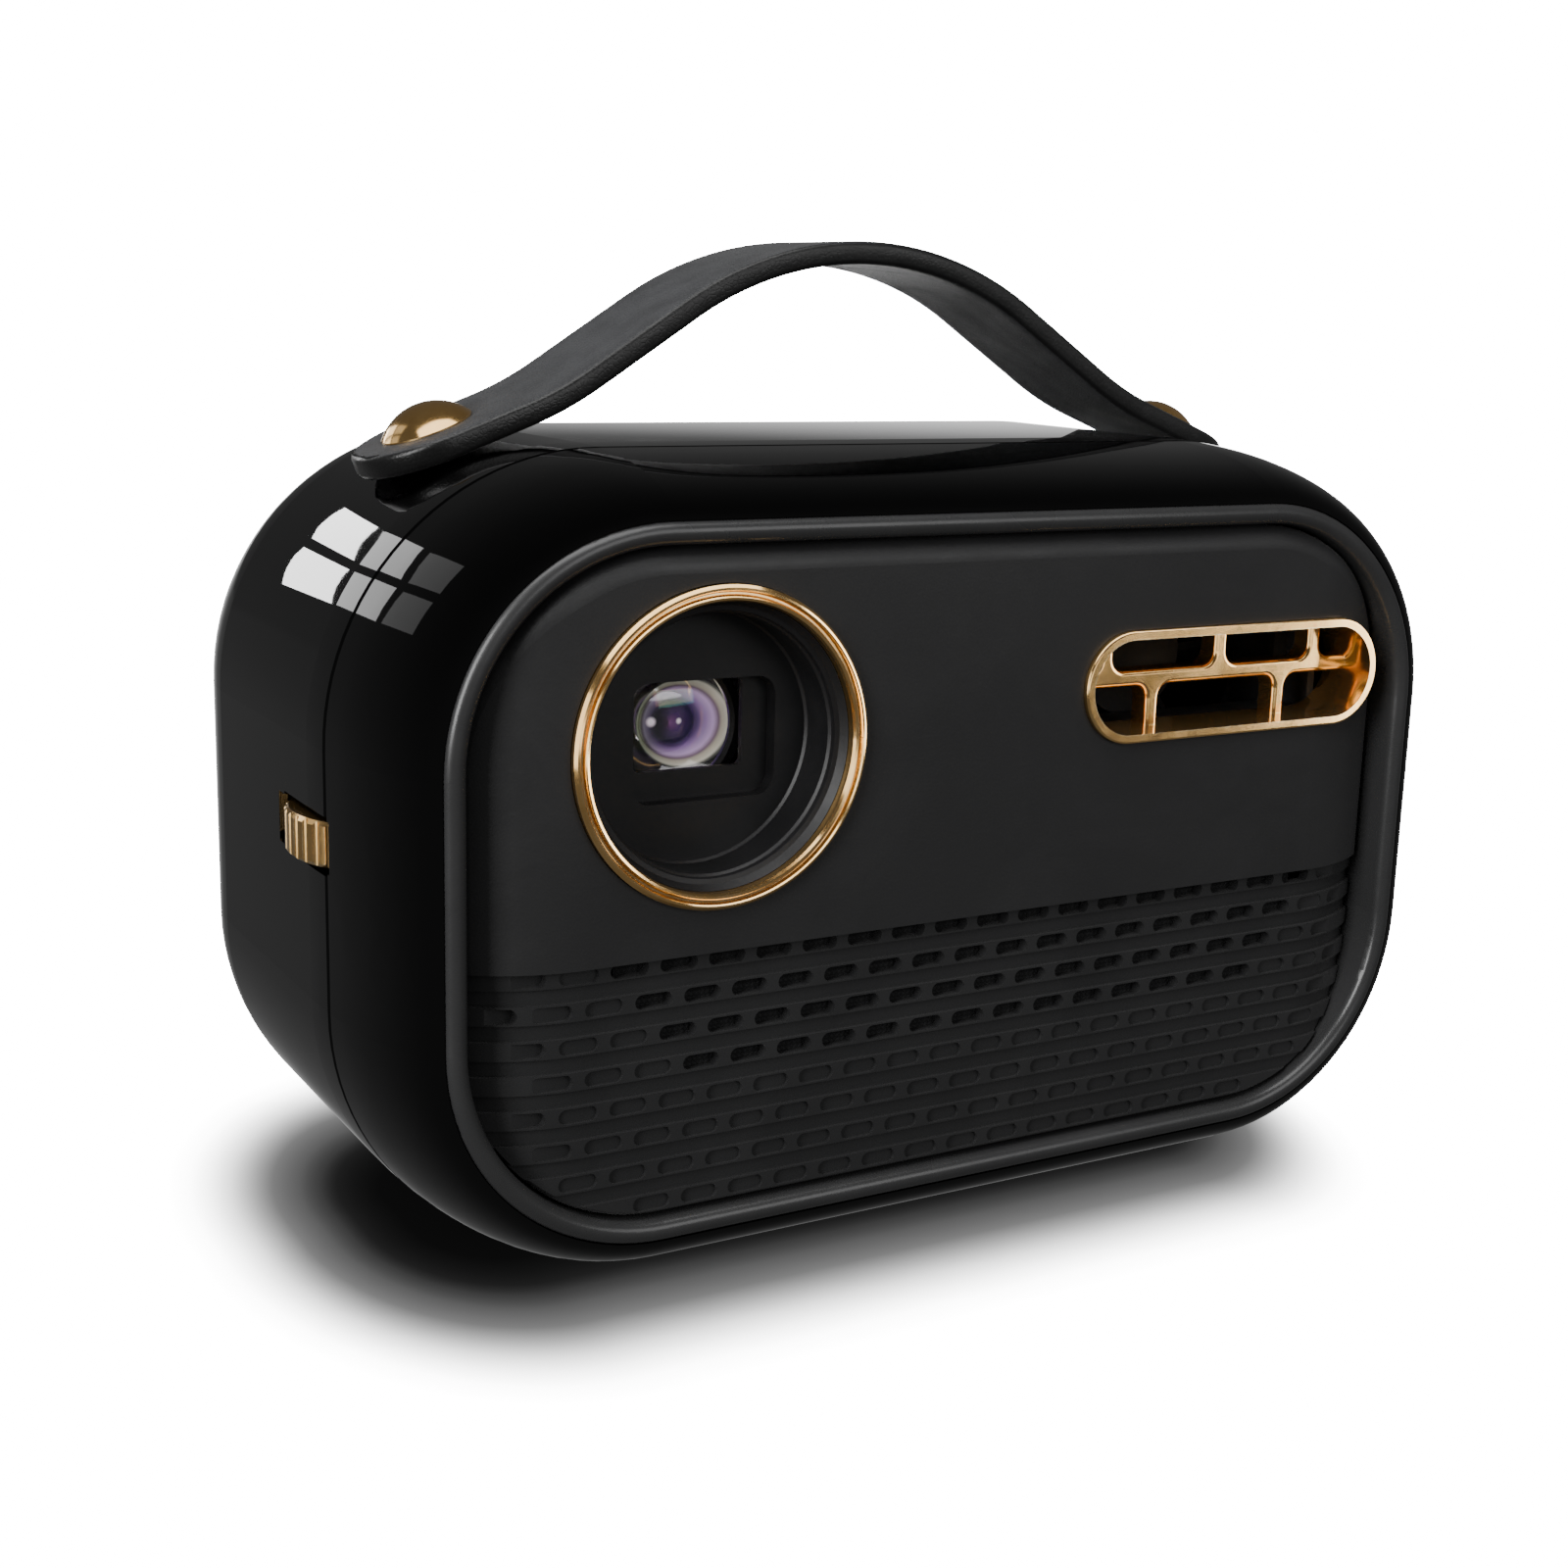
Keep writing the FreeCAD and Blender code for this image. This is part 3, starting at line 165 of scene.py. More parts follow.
def makeEdgeGroup():
    tree, given, out = startGroup("edgeWear", {"Radius": 0.0004, "Gain": 4.0, "Breakup": 300.0}, ("Mask",))
    rounded = addNode(tree, "Bevel", {"Radius": given["Radius"]}, samples=4).outputs[0]
    true = addNode(tree, "NewGeometry").outputs["Normal"]
    same = vector(tree, "DOT_PRODUCT", rounded, true)
    edge = arith(tree, "MULTIPLY", arith(tree, "SUBTRACT", 1.0, same), given["Gain"])
    place = objectPlace(tree)
    broken = addNode(tree, "TexNoise", {"Vector": place, "Scale": given["Breakup"], "Detail": 3.0})
    mask = arith(tree, "MULTIPLY", edge, spread(tree, broken.outputs[0], 0.35, 0.65), clamp=True)
    tree.links.new(mask, out.inputs["Mask"])


def makeDustGroup():
    tree, given, out = startGroup("dust", {"Amount": 0.1, "Scale": 1800.0}, ("Mask",))
    up = addNode(tree, "SeparateXYZ", {0: addNode(tree, "NewGeometry").outputs["Normal"]}).outputs["Z"]
    place = objectPlace(tree)
    speck = addNode(tree, "TexNoise", {"Vector": place, "Scale": given["Scale"], "Detail": 2.0}).outputs[0]
    drift = addNode(tree, "TexNoise", {"Vector": place, "Scale": 25.0, "Detail": 4.0}).outputs[0]
    mask = arith(tree, "MULTIPLY", spread(tree, speck, 0.55, 0.75), spread(tree, drift, 0.35, 0.75))
    mask = arith(tree, "MULTIPLY", mask, spread(tree, up, 0.1, 0.95))
    tree.links.new(arith(tree, "MULTIPLY", mask, given["Amount"], clamp=True), out.inputs["Mask"])


def makeLeatherGroup():
    tree, given, out = startGroup("leatherGrain", {"Scale": 1500.0, "Crease": 180.0}, ("Height", "Tone"))
    place = objectPlace(tree)
    warp = addNode(tree, "TexNoise", {"Vector": place, "Scale": 400.0, "Detail": 2.0}).outputs[1]
    bent = vector(tree, "MULTIPLY", warp, (0.0009, 0.0009, 0.0009))
    bent = vector(tree, "ADD", place, bent)
    cells = addNode(tree, "TexVoronoi", {"Vector": bent, "Scale": given["Scale"]}, feature="DISTANCE_TO_EDGE")
    pebble = spread(tree, cells.outputs["Distance"], 0.0, 0.18)
    crease = addNode(tree, "TexNoise", {"Vector": bent, "Scale": given["Crease"], "Detail": 5.0}).outputs[0]
    height = arith(tree, "ADD", arith(tree, "MULTIPLY", pebble, 0.6), arith(tree, "MULTIPLY", crease, 0.7))
    tree.links.new(height, out.inputs["Height"])
    tone = arith(tree, "ADD", arith(tree, "MULTIPLY", pebble, 0.35), spread(tree, crease, 0.35, 0.65, 0.0, 0.65),
                 clamp=True)
    tree.links.new(tone, out.inputs["Tone"])


def makeWeaveGroup():
    tree, given, out = startGroup("weave", {"Pitch": 4500.0}, ("Height", "Hole"))
    place = addNode(tree, "SeparateXYZ", {0: objectPlace(tree)})
    across, along = (arith(tree, "ABSOLUTE", arith(tree, "SINE", arith(tree, "MULTIPLY", place.outputs[way],
                                                                       given["Pitch"]))) for way in "XZ")
    tree.links.new(arith(tree, "MAXIMUM", across, along), out.inputs["Height"])
    tree.links.new(arith(tree, "MULTIPLY", across, along), out.inputs["Hole"])


for makeGroup in (makeGrainGroup, makeHandlingGroup, makeEdgeGroup, makeDustGroup, makeLeatherGroup,
                  makeWeaveGroup):
    makeGroup()
print("shared effects built")


def grey(level):
    return (level, level, level, 1.0)


def blankMaterial(name):
    material = bpy.data.materials.new(name)
    material.use_nodes = True
    material.node_tree.nodes.clear()
    return material, material.node_tree


def startMaterial(name, **sockets):
    material, tree = blankMaterial(name)
    shader = addNode(tree, "BsdfPrincipled", {label.replace("_", " "): value for label, value in sockets.items()})
    addNode(tree, "OutputMaterial", {"Surface": shader.outputs[0]})
    return material, tree, shader


def bumpFrom(tree, shader, height, depth, strength=1.0):
    bump = addNode(tree, "Bump", {"Strength": strength, "Distance": depth, "Height": height})
    tree.links.new(bump.outputs[0], shader.inputs["Normal"])


# Each finish: colour and its darker patches, roughness from clean to handled, grain scale and depth in metres,
# the worn edge and how much dust lies on it.
finishes = {
    "gloss_shell": dict(colour=(0.0028, 0.0028, 0.0032), deep=(0.0018, 0.0018, 0.002), rough=(0.008, 0.03),
                        scale=28, scratches=0.2, grain=1400, depth=0.0000004, dust=0.01),
    "satin_bezel": dict(colour=(0.036, 0.036, 0.0365), deep=(0.03, 0.03, 0.0305), rough=(0.26, 0.36), scale=60,
                        grain=2200, depth=0.000004, dust=0.012),
    "soft_panel": dict(colour=(0.0165, 0.0165, 0.017), deep=(0.0135, 0.0135, 0.014), rough=(0.46, 0.6), scale=45,
                       grain=2600, depth=0.000012, dust=0.012,
                       sockets={"Sheen Weight": 0.05, "Sheen Roughness": 0.4}),
    "gold_plate": dict(colour=(0.84, 0.54, 0.22), deep=(0.74, 0.44, 0.15), rough=(0.12, 0.19), scale=120,
                       grain=1600, depth=0.000002, metallic=0.96, worn=(0.96, 0.78, 0.5), wear=0.00035),
    "tunnel_black": dict(colour=(0.007, 0.007, 0.0078), deep=(0.005, 0.005, 0.0055), rough=(0.45, 0.62), scale=70,
                         grain=1900, depth=0.00001),
    "black_rubber": dict(colour=(0.012, 0.012, 0.012), deep=(0.007, 0.007, 0.007), rough=(0.7, 0.9), scale=90,
                         grain=1500, depth=0.00002, dust=0.1),
    "brass_insert": dict(colour=(0.72, 0.5, 0.22), deep=(0.5, 0.33, 0.13), rough=(0.22, 0.4), scale=150, grain=900,
                         depth=0.00001, stretch=(1.0, 1.0, 6.0), metallic=1.0, worn=(0.9, 0.7, 0.4), wear=0.0003),
    "steel_zinc": dict(colour=(0.62, 0.63, 0.65), deep=(0.42, 0.43, 0.46), rough=(0.24, 0.42), scale=150,
                       grain=1200, depth=0.000006, metallic=1.0, worn=(0.8, 0.8, 0.82), wear=0.0003),
    "engine_aluminium": dict(colour=(0.5, 0.5, 0.52), deep=(0.36, 0.36, 0.38), rough=(0.42, 0.6), scale=80,
                             grain=1100, depth=0.00003, metallic=1.0, worn=(0.75, 0.75, 0.77), wear=0.0004),
    "sink_aluminium": dict(colour=(0.6, 0.6, 0.62), deep=(0.45, 0.45, 0.47), rough=(0.3, 0.45), scale=80, grain=700,
                           depth=0.00001, stretch=(1.0, 12.0, 12.0), metallic=1.0),
    "inner_plastic": dict(colour=(0.018, 0.018, 0.019), deep=(0.011, 0.011, 0.012), rough=(0.5, 0.68), scale=60,
                          grain=1400, depth=0.00003, dust=0.05),
    "white_nylon": dict(colour=(0.72, 0.7, 0.64), deep=(0.6, 0.58, 0.52), rough=(0.4, 0.55), scale=90, grain=1300,
                        depth=0.00001, sockets={"Subsurface Weight": 0.15, "Subsurface Scale": 0.001}),
    "chip_black": dict(colour=(0.014, 0.014, 0.015), deep=(0.008, 0.008, 0.008), rough=(0.35, 0.5), scale=150,
                       grain=1900, depth=0.00001),
    "socket_steel": dict(colour=(0.55, 0.56, 0.57), deep=(0.4, 0.41, 0.42), rough=(0.22, 0.38), scale=200,
                         grain=900, depth=0.000006, stretch=(8.0, 1.0, 1.0), metallic=1.0, worn=(0.8, 0.8, 0.8), wear=0.0002),
    "port_satin": dict(colour=(0.009, 0.009, 0.0095), deep=(0.006, 0.006, 0.0065), rough=(0.32, 0.45), scale=60,
                       grain=2000, depth=0.000008, dust=0.02),
    "key_plastic": dict(colour=(0.016, 0.016, 0.017), deep=(0.011, 0.011, 0.012), rough=(0.3, 0.44), scale=110,
                        grain=2200, depth=0.000006, worn=(0.05, 0.05, 0.052), wear=0.0003),
    "infrared_tint": dict(colour=(0.03, 0.002, 0.004), deep=(0.018, 0.001, 0.002), rough=(0.04, 0.1), scale=60,
                          grain=900, depth=0.000001, sockets={"Coat Weight": 1.0, "Coat Roughness": 0.03}),
    "cell_sleeve": dict(colour=(0.02, 0.12, 0.3), deep=(0.014, 0.09, 0.24), rough=(0.25, 0.4), scale=60, grain=500,
                        depth=0.00002, stretch=(1.0, 4.0, 1.0)),
    "cone_paper": dict(colour=(0.03, 0.029, 0.027), deep=(0.018, 0.017, 0.016), rough=(0.7, 0.85), scale=90,
                       grain=1100, depth=0.00004),
    "magnet_ferrite": dict(colour=(0.05, 0.05, 0.052), deep=(0.03, 0.03, 0.031), rough=(0.5, 0.7), scale=110,
                           grain=1000, depth=0.00003, worn=(0.12, 0.12, 0.12), wear=0.0004),
    "switch_steel": dict(colour=(0.5, 0.5, 0.5), deep=(0.36, 0.36, 0.36), rough=(0.26, 0.4), scale=150, grain=1200,
                         depth=0.000004, metallic=1.0),
}


def makeFinish(name, look):
    material, tree, shader = startMaterial(name, Metallic=look.get("metallic", 0.0))
    for label, value in look.get("sockets", {}).items():
        shader.inputs[label].default_value = value
    grain = useGroup(tree, "mouldGrain", Scale=look["grain"], Patch=look["scale"] * 1.3,
                     Stretch=look.get("stretch", (1.0, 1.0, 1.0)))
    used = useGroup(tree, "handling", Smooth=look["rough"][0], Rough=look["rough"][1], Scale=look["scale"],
                    Scratches=look.get("scratches", 0.3))
    colour = mixColour(tree, grain["Tone"], look["colour"] + (1.0,), look["deep"] + (1.0,))
    if "wear" in look:
        edge = useGroup(tree, "edgeWear", Radius=look["wear"])
        colour = mixColour(tree, edge["Mask"], colour, look["worn"] + (1.0,))
    if "dust" in look:
        dusty = useGroup(tree, "dust", Amount=look["dust"])
        colour = mixColour(tree, dusty["Mask"], colour, (0.42, 0.4, 0.37, 1.0))
    tree.links.new(colour, shader.inputs["Base Color"])
    tree.links.new(used["Roughness"], shader.inputs["Roughness"])
    bumpFrom(tree, shader, grain["Height"], look["depth"])
    return material


# bands of coating colour and painted reflections round the lens axis, in metres: they drift to one side the wider
# they are, and glow a little by emission, a painted glow for the light caught behind the glass; each painted
# highlight is x, z from the axis and size
lensBands = {"axis": (-0.0378, 0.0, 0.0699), "radius": 0.0057, "drift": 0.29, "glow": 0.4,
             "painted_highlights": ((-0.0023, 0.0002, 0.0008), (0.0014, 0.0001, 0.0005)), "highlight_paint": (0.95, 0.82, 0.9, 1.0),
             "painted_shade_tint": (0.2, 0.24, 0.2, 1.0),
             "steps": ((0.0, (0.16, 0.05, 0.17, 1.0)), (0.2, (0.05, 0.016, 0.09, 1.0)),
                       (0.42, (0.014, 0.007, 0.04, 1.0)), (0.52, (0.10, 0.05, 0.17, 1.0)),
                       (0.60, (0.34, 0.2, 0.46, 1.0)), (0.72, (0.72, 0.5, 0.82, 1.0)),
                       (0.79, (0.24, 0.16, 0.22, 1.0)), (0.84, (0.62, 0.56, 0.44, 1.0)),
                       (0.92, (0.85, 0.8, 0.66, 1.0)), (0.96, (0.16, 0.16, 0.14, 1.0)),
                       (1.0, (0.004, 0.004, 0.004, 1.0)))}


def makeLensCoatingWithPaintedLight(look):
    material, tree, shader = startMaterial("lens_coating", Coat_Weight=1.0, Coat_Roughness=0.02, Coat_IOR=1.8,
                                           Emission_Strength=look["glow"])
    place = vector(tree, "MULTIPLY", vector(tree, "SUBTRACT", objectPlace(tree), look["axis"]), (1.0, 0.0, 1.0))
    parts = addNode(tree, "SeparateXYZ", {0: place}).outputs
    wide = vector(tree, "LENGTH", place)
    aside = arith(tree, "SUBTRACT", parts["X"], arith(tree, "MULTIPLY", wide, look["drift"]))
    drifted = addNode(tree, "CombineXYZ", {"X": aside, "Z": parts["Z"]}).outputs[0]
    bands = rampOf(tree, spread(tree, vector(tree, "LENGTH", drifted), 0.0, look["radius"]), look["steps"])
    # painted light and shade: full colour on one side, darkened and a little green on the other and above; the
    # darkening at the top is a painted shadow of the aperture
    side = arith(tree, "DIVIDE", parts["X"], arith(tree, "MAXIMUM", wide, 0.0001))
    lit_side_mask = arith(tree, "MULTIPLY", spread(tree, side, -0.8, 0.7),
                 spread(tree, parts["Z"], 0.0028, 0.0058, 1.0, 0.25))
    painted_shade_tint = mixColour(tree, 1.0, bands, look["painted_shade_tint"], blend_type="MULTIPLY")
    colour = mixColour(tree, lit_side_mask, painted_shade_tint, bands)
    # painted highlights: pale spots laid over the bands
    for x, z, size in look["painted_highlights"]:
        far = vector(tree, "DISTANCE", place, (x, 0.0, z))
        highlight_paint = spread(tree, far, size * 0.25, size, 1.0, 0.0, "SMOOTHSTEP")
        colour = mixColour(tree, highlight_paint, colour, look["highlight_paint"])
    tree.links.new(colour, shader.inputs["Base Color"])
    # the same colour, painted reflections and highlights included, drives the emission: a painted glow
    tree.links.new(colour, shader.inputs["Emission Color"])
    speck = useGroup(tree, "handling", Smooth=0.05, Rough=0.2, Scale=400.0, Scratches=0.2)
    tree.links.new(speck["Roughness"], shader.inputs["Roughness"])
    return material


def makeClearGlass(name, film):
    # light passes straight through for shadows, so that what stands behind the glass is lit
    material, tree, shader = startMaterial(name, Transmission_Weight=1.0, IOR=1.5, Thin_Film_Thickness=film,
                                           Thin_Film_IOR=1.38)
    speck = useGroup(tree, "handling", Smooth=0.0, Rough=0.03, Scale=300.0, Scratches=0.3)
    tree.links.new(speck["Roughness"], shader.inputs["Roughness"])
    tint = useGroup(tree, "mouldGrain", Scale=200.0, Patch=80.0)
    tree.links.new(mixColour(tree, tint["Tone"], (0.96, 0.95, 1.0, 1.0), (0.99, 0.99, 0.98, 1.0)),
                   shader.inputs["Base Color"])
    shadow = addNode(tree, "LightPath").outputs["Is Shadow Ray"]
    mixed = mixShader(tree, shadow, shader, addNode(tree, "BsdfTransparent"))
    tree.links.new(mixed, tree.nodes["Material Output"].inputs[0])
    return material


def makeDichroic():
    material, tree, shader = startMaterial("dichroic_glass", Roughness=0.04, Transmission_Weight=0.6,
                                           Thin_Film_Thickness=420.0, Thin_Film_IOR=1.8)
    grain = useGroup(tree, "mouldGrain", Scale=300.0, Patch=80.0)
    tree.links.new(mixColour(tree, grain["Tone"], (0.1, 0.3, 0.7, 1.0), (0.6, 0.25, 0.4, 1.0)),
                   shader.inputs["Base Color"])
    return material


def makeLeather(name, colour, deep, rough, depth):
    material, tree, shader = startMaterial(name, Specular_IOR_Level=0.4, Sheen_Weight=0.08, Sheen_Roughness=0.5)
    grain = useGroup(tree, "leatherGrain")
    tree.links.new(mixColour(tree, grain["Tone"], deep, colour), shader.inputs["Base Color"])
    used = useGroup(tree, "handling", Smooth=rough[0], Rough=rough[1], Scale=50.0)
    tree.links.new(used["Roughness"], shader.inputs["Roughness"])
    bumpFrom(tree, shader, grain["Height"], depth)
    return material


def makeBoard():
    material, tree, shader = startMaterial("board_green", Coat_Weight=0.6, Coat_Roughness=0.15)
    place = objectPlace(tree)
    tracks = addNode(tree, "TexBrick", {"Vector": place, "Scale": 260.0, "Mortar Size": 0.06, "Color1": grey(0.0),
                                        "Color2": grey(0.12), "Mortar": grey(1.0)})
    tree.links.new(mixColour(tree, tracks.outputs[0], (0.006, 0.07, 0.025, 1.0), (0.02, 0.15, 0.06, 1.0)),
                   shader.inputs["Base Color"])
    used = useGroup(tree, "handling", Smooth=0.3, Rough=0.45, Scale=90.0)
    tree.links.new(used["Roughness"], shader.inputs["Roughness"])
    bumpFrom(tree, shader, tracks.outputs[1], 0.00003)
    return material


def makeMesh():
    material, tree, shader = startMaterial("mesh_fabric", Roughness=0.8)
    cloth = useGroup(tree, "weave")
    # the holes of the weave are painted near black: painted shade in the gaps
    tree.links.new(mixColour(tree, cloth["Hole"], (0.012, 0.012, 0.013, 1.0), (0.0015, 0.0015, 0.0015, 1.0)),
                   shader.inputs["Base Color"])
    bumpFrom(tree, shader, cloth["Height"], 0.0001)
    return material


materials = {name: makeFinish(name, look) for name, look in finishes.items()}
materials["optical_glass"] = makeClearGlass("optical_glass", 0.0)
materials["clear_glass"] = makeClearGlass("clear_glass", 380.0)
materials["lens_coating"] = makeLensCoatingWithPaintedLight(lensBands)
materials["dichroic_glass"] = makeDichroic()
materials["board_green"] = makeBoard()
materials["mesh_fabric"] = makeMesh()
materials["leather_black"] = makeLeather("leather_black", (0.044, 0.045, 0.048, 1.0),
                                         (0.024, 0.0245, 0.0265, 1.0), (0.42, 0.6), 0.00006)
materials["leather_edge"] = makeLeather("leather_edge", grey(0.006), grey(0.003), (0.3, 0.45), 0.00002)

for part in frame["record"]["subparts"]:
    node = nodes.get(part["node"])
    if node is None:
        continue
    node.data.materials.clear()
    node.data.materials.append(materials[part["material_slot"]])
print("finishes on", len(nodes), "CAD nodes")


# sizes in metres; flat and tip are how far the strap runs straight inside and outside its rivets
strap = {"width": 0.020, "thick": 0.003, "edge": 0.0007, "rivetX": 0.0575, "flat": 0.0088, "tip": 0.0105,
         "y": 0.00305, "archR": 0.048, "sweepR": 0.048, "archAngle": math.radians(33),
         "lean": math.asin(12.5 / 35.0), "steps": 190}


def strapCourse(look):
    # the arcs and runs of the strap's middle line, from the top of the arch to the tip: (length, turn)
    rise = look["archAngle"] - look["lean"]
    straight = (look["rivetX"] - look["flat"] - look["archR"] * math.sin(look["archAngle"])
                - look["sweepR"] * (math.sin(look["archAngle"]) - math.sin(look["lean"])))
    return ((look["archR"] * look["archAngle"], -1 / look["archR"]), (straight / math.cos(look["archAngle"]), 0.0),
            (look["sweepR"] * rise, 1 / look["sweepR"]),
            ((look["flat"] + look["tip"]) / math.cos(look["lean"]), 0.0))


def alongStrap(look, distance):
    # where the middle line is, and which way it heads, at a distance from the top
    x, z, heading = 0.0, 0.0, 0.0
    for length, turn in strapCourse(look):
        step = min(length, distance)
        if turn:
            x += (math.sin(heading + turn * step) - math.sin(heading)) / turn
            z += (math.cos(heading) - math.cos(heading + turn * step)) / turn
        else:
            x += step * math.cos(heading)
            z += step * math.sin(heading)
        heading += turn * step
        distance -= step
        if distance <= 0:
            break
    return x, z, heading


def buildStrap(look):
    reach = sum(length for length, _ in strapCourse(look)) - 0.0003
    half = look["width"] / 2
    bm = bmesh.new()
    bmesh.ops.create_grid(bm, x_segments=look["steps"], y_segments=10, size=1.0)
    for vert in bm.verts:
        # crowd the rows towards both tips, then round the tips
        s = math.sin(vert.co.x * math.pi / 2) * 0.35 + vert.co.x * 0.65
        past = max(0.0, abs(s) * reach - (reach - half)) / half
        vert.co = Vector((s * reach, vert.co.y * half * math.sqrt(max(0.0, 1 - past * past)), 0.0))
    bmesh.ops.remove_doubles(bm, verts=bm.verts, dist=0.00002)
    bmesh.ops.recalc_face_normals(bm, faces=bm.faces)
    lower = bm.faces[:]
    raised = bmesh.ops.extrude_face_region(bm, geom=lower, use_keep_orig=True)
    upper = [v for v in raised["geom"] if isinstance(v, bmesh.types.BMVert)]
    bmesh.ops.translate(bm, verts=upper, vec=(0.0, 0.0, look["thick"]))
    bmesh.ops.translate(bm, verts=bm.verts, vec=(0.0, 0.0, -look["thick"] / 2))
    bmesh.ops.recalc_face_normals(bm, faces=bm.faces)
    rims = [e for e in bm.edges if len(e.link_faces) == 2 and e.calc_face_angle(0.0) > 1.0]
    bmesh.ops.bevel(bm, geom=rims, offset=look["edge"], offset_type="OFFSET", affect="EDGES", segments=3,
                    profile=0.5, material=-1)
    for face in bm.faces:
        face.smooth = True
        face.material_index = 1 if abs(face.normal.z) < 0.8 else 0
    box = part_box("handle_strap")
    top = box[1].z - look["thick"] / 2
    for vert in bm.verts:
        side = -1.0 if vert.co.x < 0 else 1.0
        x, z, heading = alongStrap(look, abs(vert.co.x))
        normal = Vector((-math.sin(heading), 0.0, math.cos(heading)))
        spot = Vector((x, 0.0, z + top)) + normal * vert.co.z
        vert.co = Vector((side * spot.x, vert.co.y + look["y"], spot.z))
    mesh = meshFrom("leather_strap", bm)
    for name in ("leather_black", "leather_edge"):
        mesh.materials.append(materials[name])
    piece = link("leather_strap", mesh)
    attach(piece, "case")
    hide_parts("handle_strap")


buildStrap(strap)
print("strap built")


# radii and depths in metres: the clear dome, the funnel behind it and the coated element at its throat
lensFront = {"x": -0.0378, "z": 0.0699, "radius": 0.0076, "domeY": -0.0281, "domeR": 0.016, "domeWall": 0.0009,
             "funnel": ((0.0075, -0.02535), (0.0063, -0.0250), (0.0051, -0.0244), (0.0038, -0.0236)),
             "core": 0.00375, "coreY": -0.0242, "backY": -0.02315, "turns": 72}


def spinPiece(name, profile, look, material):
    # profile runs from the rim to the axis and back, in (radius, depth)
    bm = bmesh.new()
    verts = [bm.verts.new((radius, depth, 0.0)) for radius, depth in profile]
    edges = [bm.edges.new(pair) for pair in zip(verts, verts[1:])]
    if profile[0][0] > 0.0:
        edges.append(bm.edges.new((verts[-1], verts[0])))
    bmesh.ops.spin(bm, geom=verts + edges, cent=(0.0, 0.0, 0.0), axis=(0.0, 1.0, 0.0), angle=2 * math.pi,
                   steps=look["turns"], use_merge=True)
    bmesh.ops.remove_doubles(bm, verts=bm.verts, dist=0.000001)
    bmesh.ops.recalc_face_normals(bm, faces=bm.faces)
    for face in bm.faces:
        face.smooth = True
    bmesh.ops.translate(bm, verts=bm.verts, vec=(look["x"], 0.0, look["z"]))
    mesh = meshFrom(name, bm)
    mesh.set_sharp_from_angle(angle=math.radians(35))
    mesh.materials.append(material)
    piece = link(name, mesh)
    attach(piece, "lens_group")
    return piece


def domeLine(look, radius, apex, steps=10):
    # from the axis out to the rim of a ball cap
    rim = math.asin(radius / look["domeR"])
    return [(look["domeR"] * math.sin(rim * k / steps), apex + look["domeR"] * (1 - math.cos(rim * k / steps)))
            for k in range(steps + 1)]


def buildLensFront(look):
    outer = domeLine(look, look["radius"], look["domeY"])
    inner = domeLine(look, look["radius"] - 0.0003, look["domeY"] + look["domeWall"])
    glass = spinPiece("lens_glass", outer + inner[::-1], look, materials["clear_glass"])
    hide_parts("front_lens")
    funnel = list(look["funnel"]) + [(look["funnel"][-1][0], look["backY"]), (look["funnel"][0][0], look["backY"])]
    spinPiece("lens_funnel", funnel, look, materials["lens_coating"])
    core = domeLine(look, look["core"], look["coreY"]) + [(look["core"], look["backY"]), (0.0, look["backY"])]
    spinPiece("lens_core", core, look, materials["lens_coating"])


buildLensFront(lensFront)
print("lens front built")


# levels are radiance; the floor's shadow is painted, not cast: it says how far from the footprint each light level
# lies, in metres and in stops
studio = {"white": 24.0, "floorSize": 6.0, "shadowHalf": (0.04825, 0.004, 0.0), "shadowAt": (-0.00625, 0.0, 0.0),
          "shadowSides": (1.45, 1.0, 1.0), "shadowReach": 0.062,
          "shadowStops": ((0.0, -7.9), (0.015, -7.5), (0.020, -6.5), (0.023, -5.8), (0.026, -4.3), (0.030, -3.1),
                          (0.035, -2.2), (0.039, -0.6), (0.043, 1.1), (0.047, 2.5), (0.0505, 3.5), (0.056, 4.2),
                          (0.062, 4.585)),
          "brightSide": (0.5, 0.866, 0.0), "brightLevel": 3.5, "brightFocus": 14.0, "brightTop": (0.03, 0.0655),
          "brightFoot": (-0.45, -0.2), "footLevel": 0.15, "lowLevel": 0.12, "highLevel": 0.07,
          "middle": (0.0, 0.0, 0.06)}


def makeFloor(look):
    bm = bmesh.new()
    bmesh.ops.create_grid(bm, x_segments=1, y_segments=1, size=look["floorSize"] / 2)
    mesh = meshFrom("floor", bm)
    material, tree = blankMaterial("pale_floor")
    # painted shadow: the floor's glow dims by distance from the object's footprint, whatever the lights do
    away = vector(tree, "ABSOLUTE", vector(tree, "SUBTRACT", objectPlace(tree), look["shadowAt"]))
    away = vector(tree, "MAXIMUM", vector(tree, "SUBTRACT", away, look["shadowHalf"]))
    gap = vector(tree, "LENGTH", vector(tree, "MULTIPLY", away, look["shadowSides"]))
    darkest, brightest = look["shadowStops"][0][1], look["shadowStops"][-1][1]
    steps = [(far / look["shadowReach"], grey((stops - darkest) / (brightest - darkest)))
             for far, stops in look["shadowStops"]]
    shade = rampOf(tree, arith(tree, "DIVIDE", gap, look["shadowReach"]), steps)
    glow = addNode(tree, "Emission",
                   {"Strength": arith(tree, "POWER", 2.0, spread(tree, shade, 0.0, 1.0, darkest, brightest))})
    # only the camera sees the floor, so that reflections show the studio all round
    seen = addNode(tree, "LightPath").outputs["Is Camera Ray"]
    mixed = mixShader(tree, seen, addNode(tree, "BsdfTransparent"), glow)
    addNode(tree, "OutputMaterial", {"Surface": mixed})
    mesh.materials.append(material)
    link("floor", mesh)


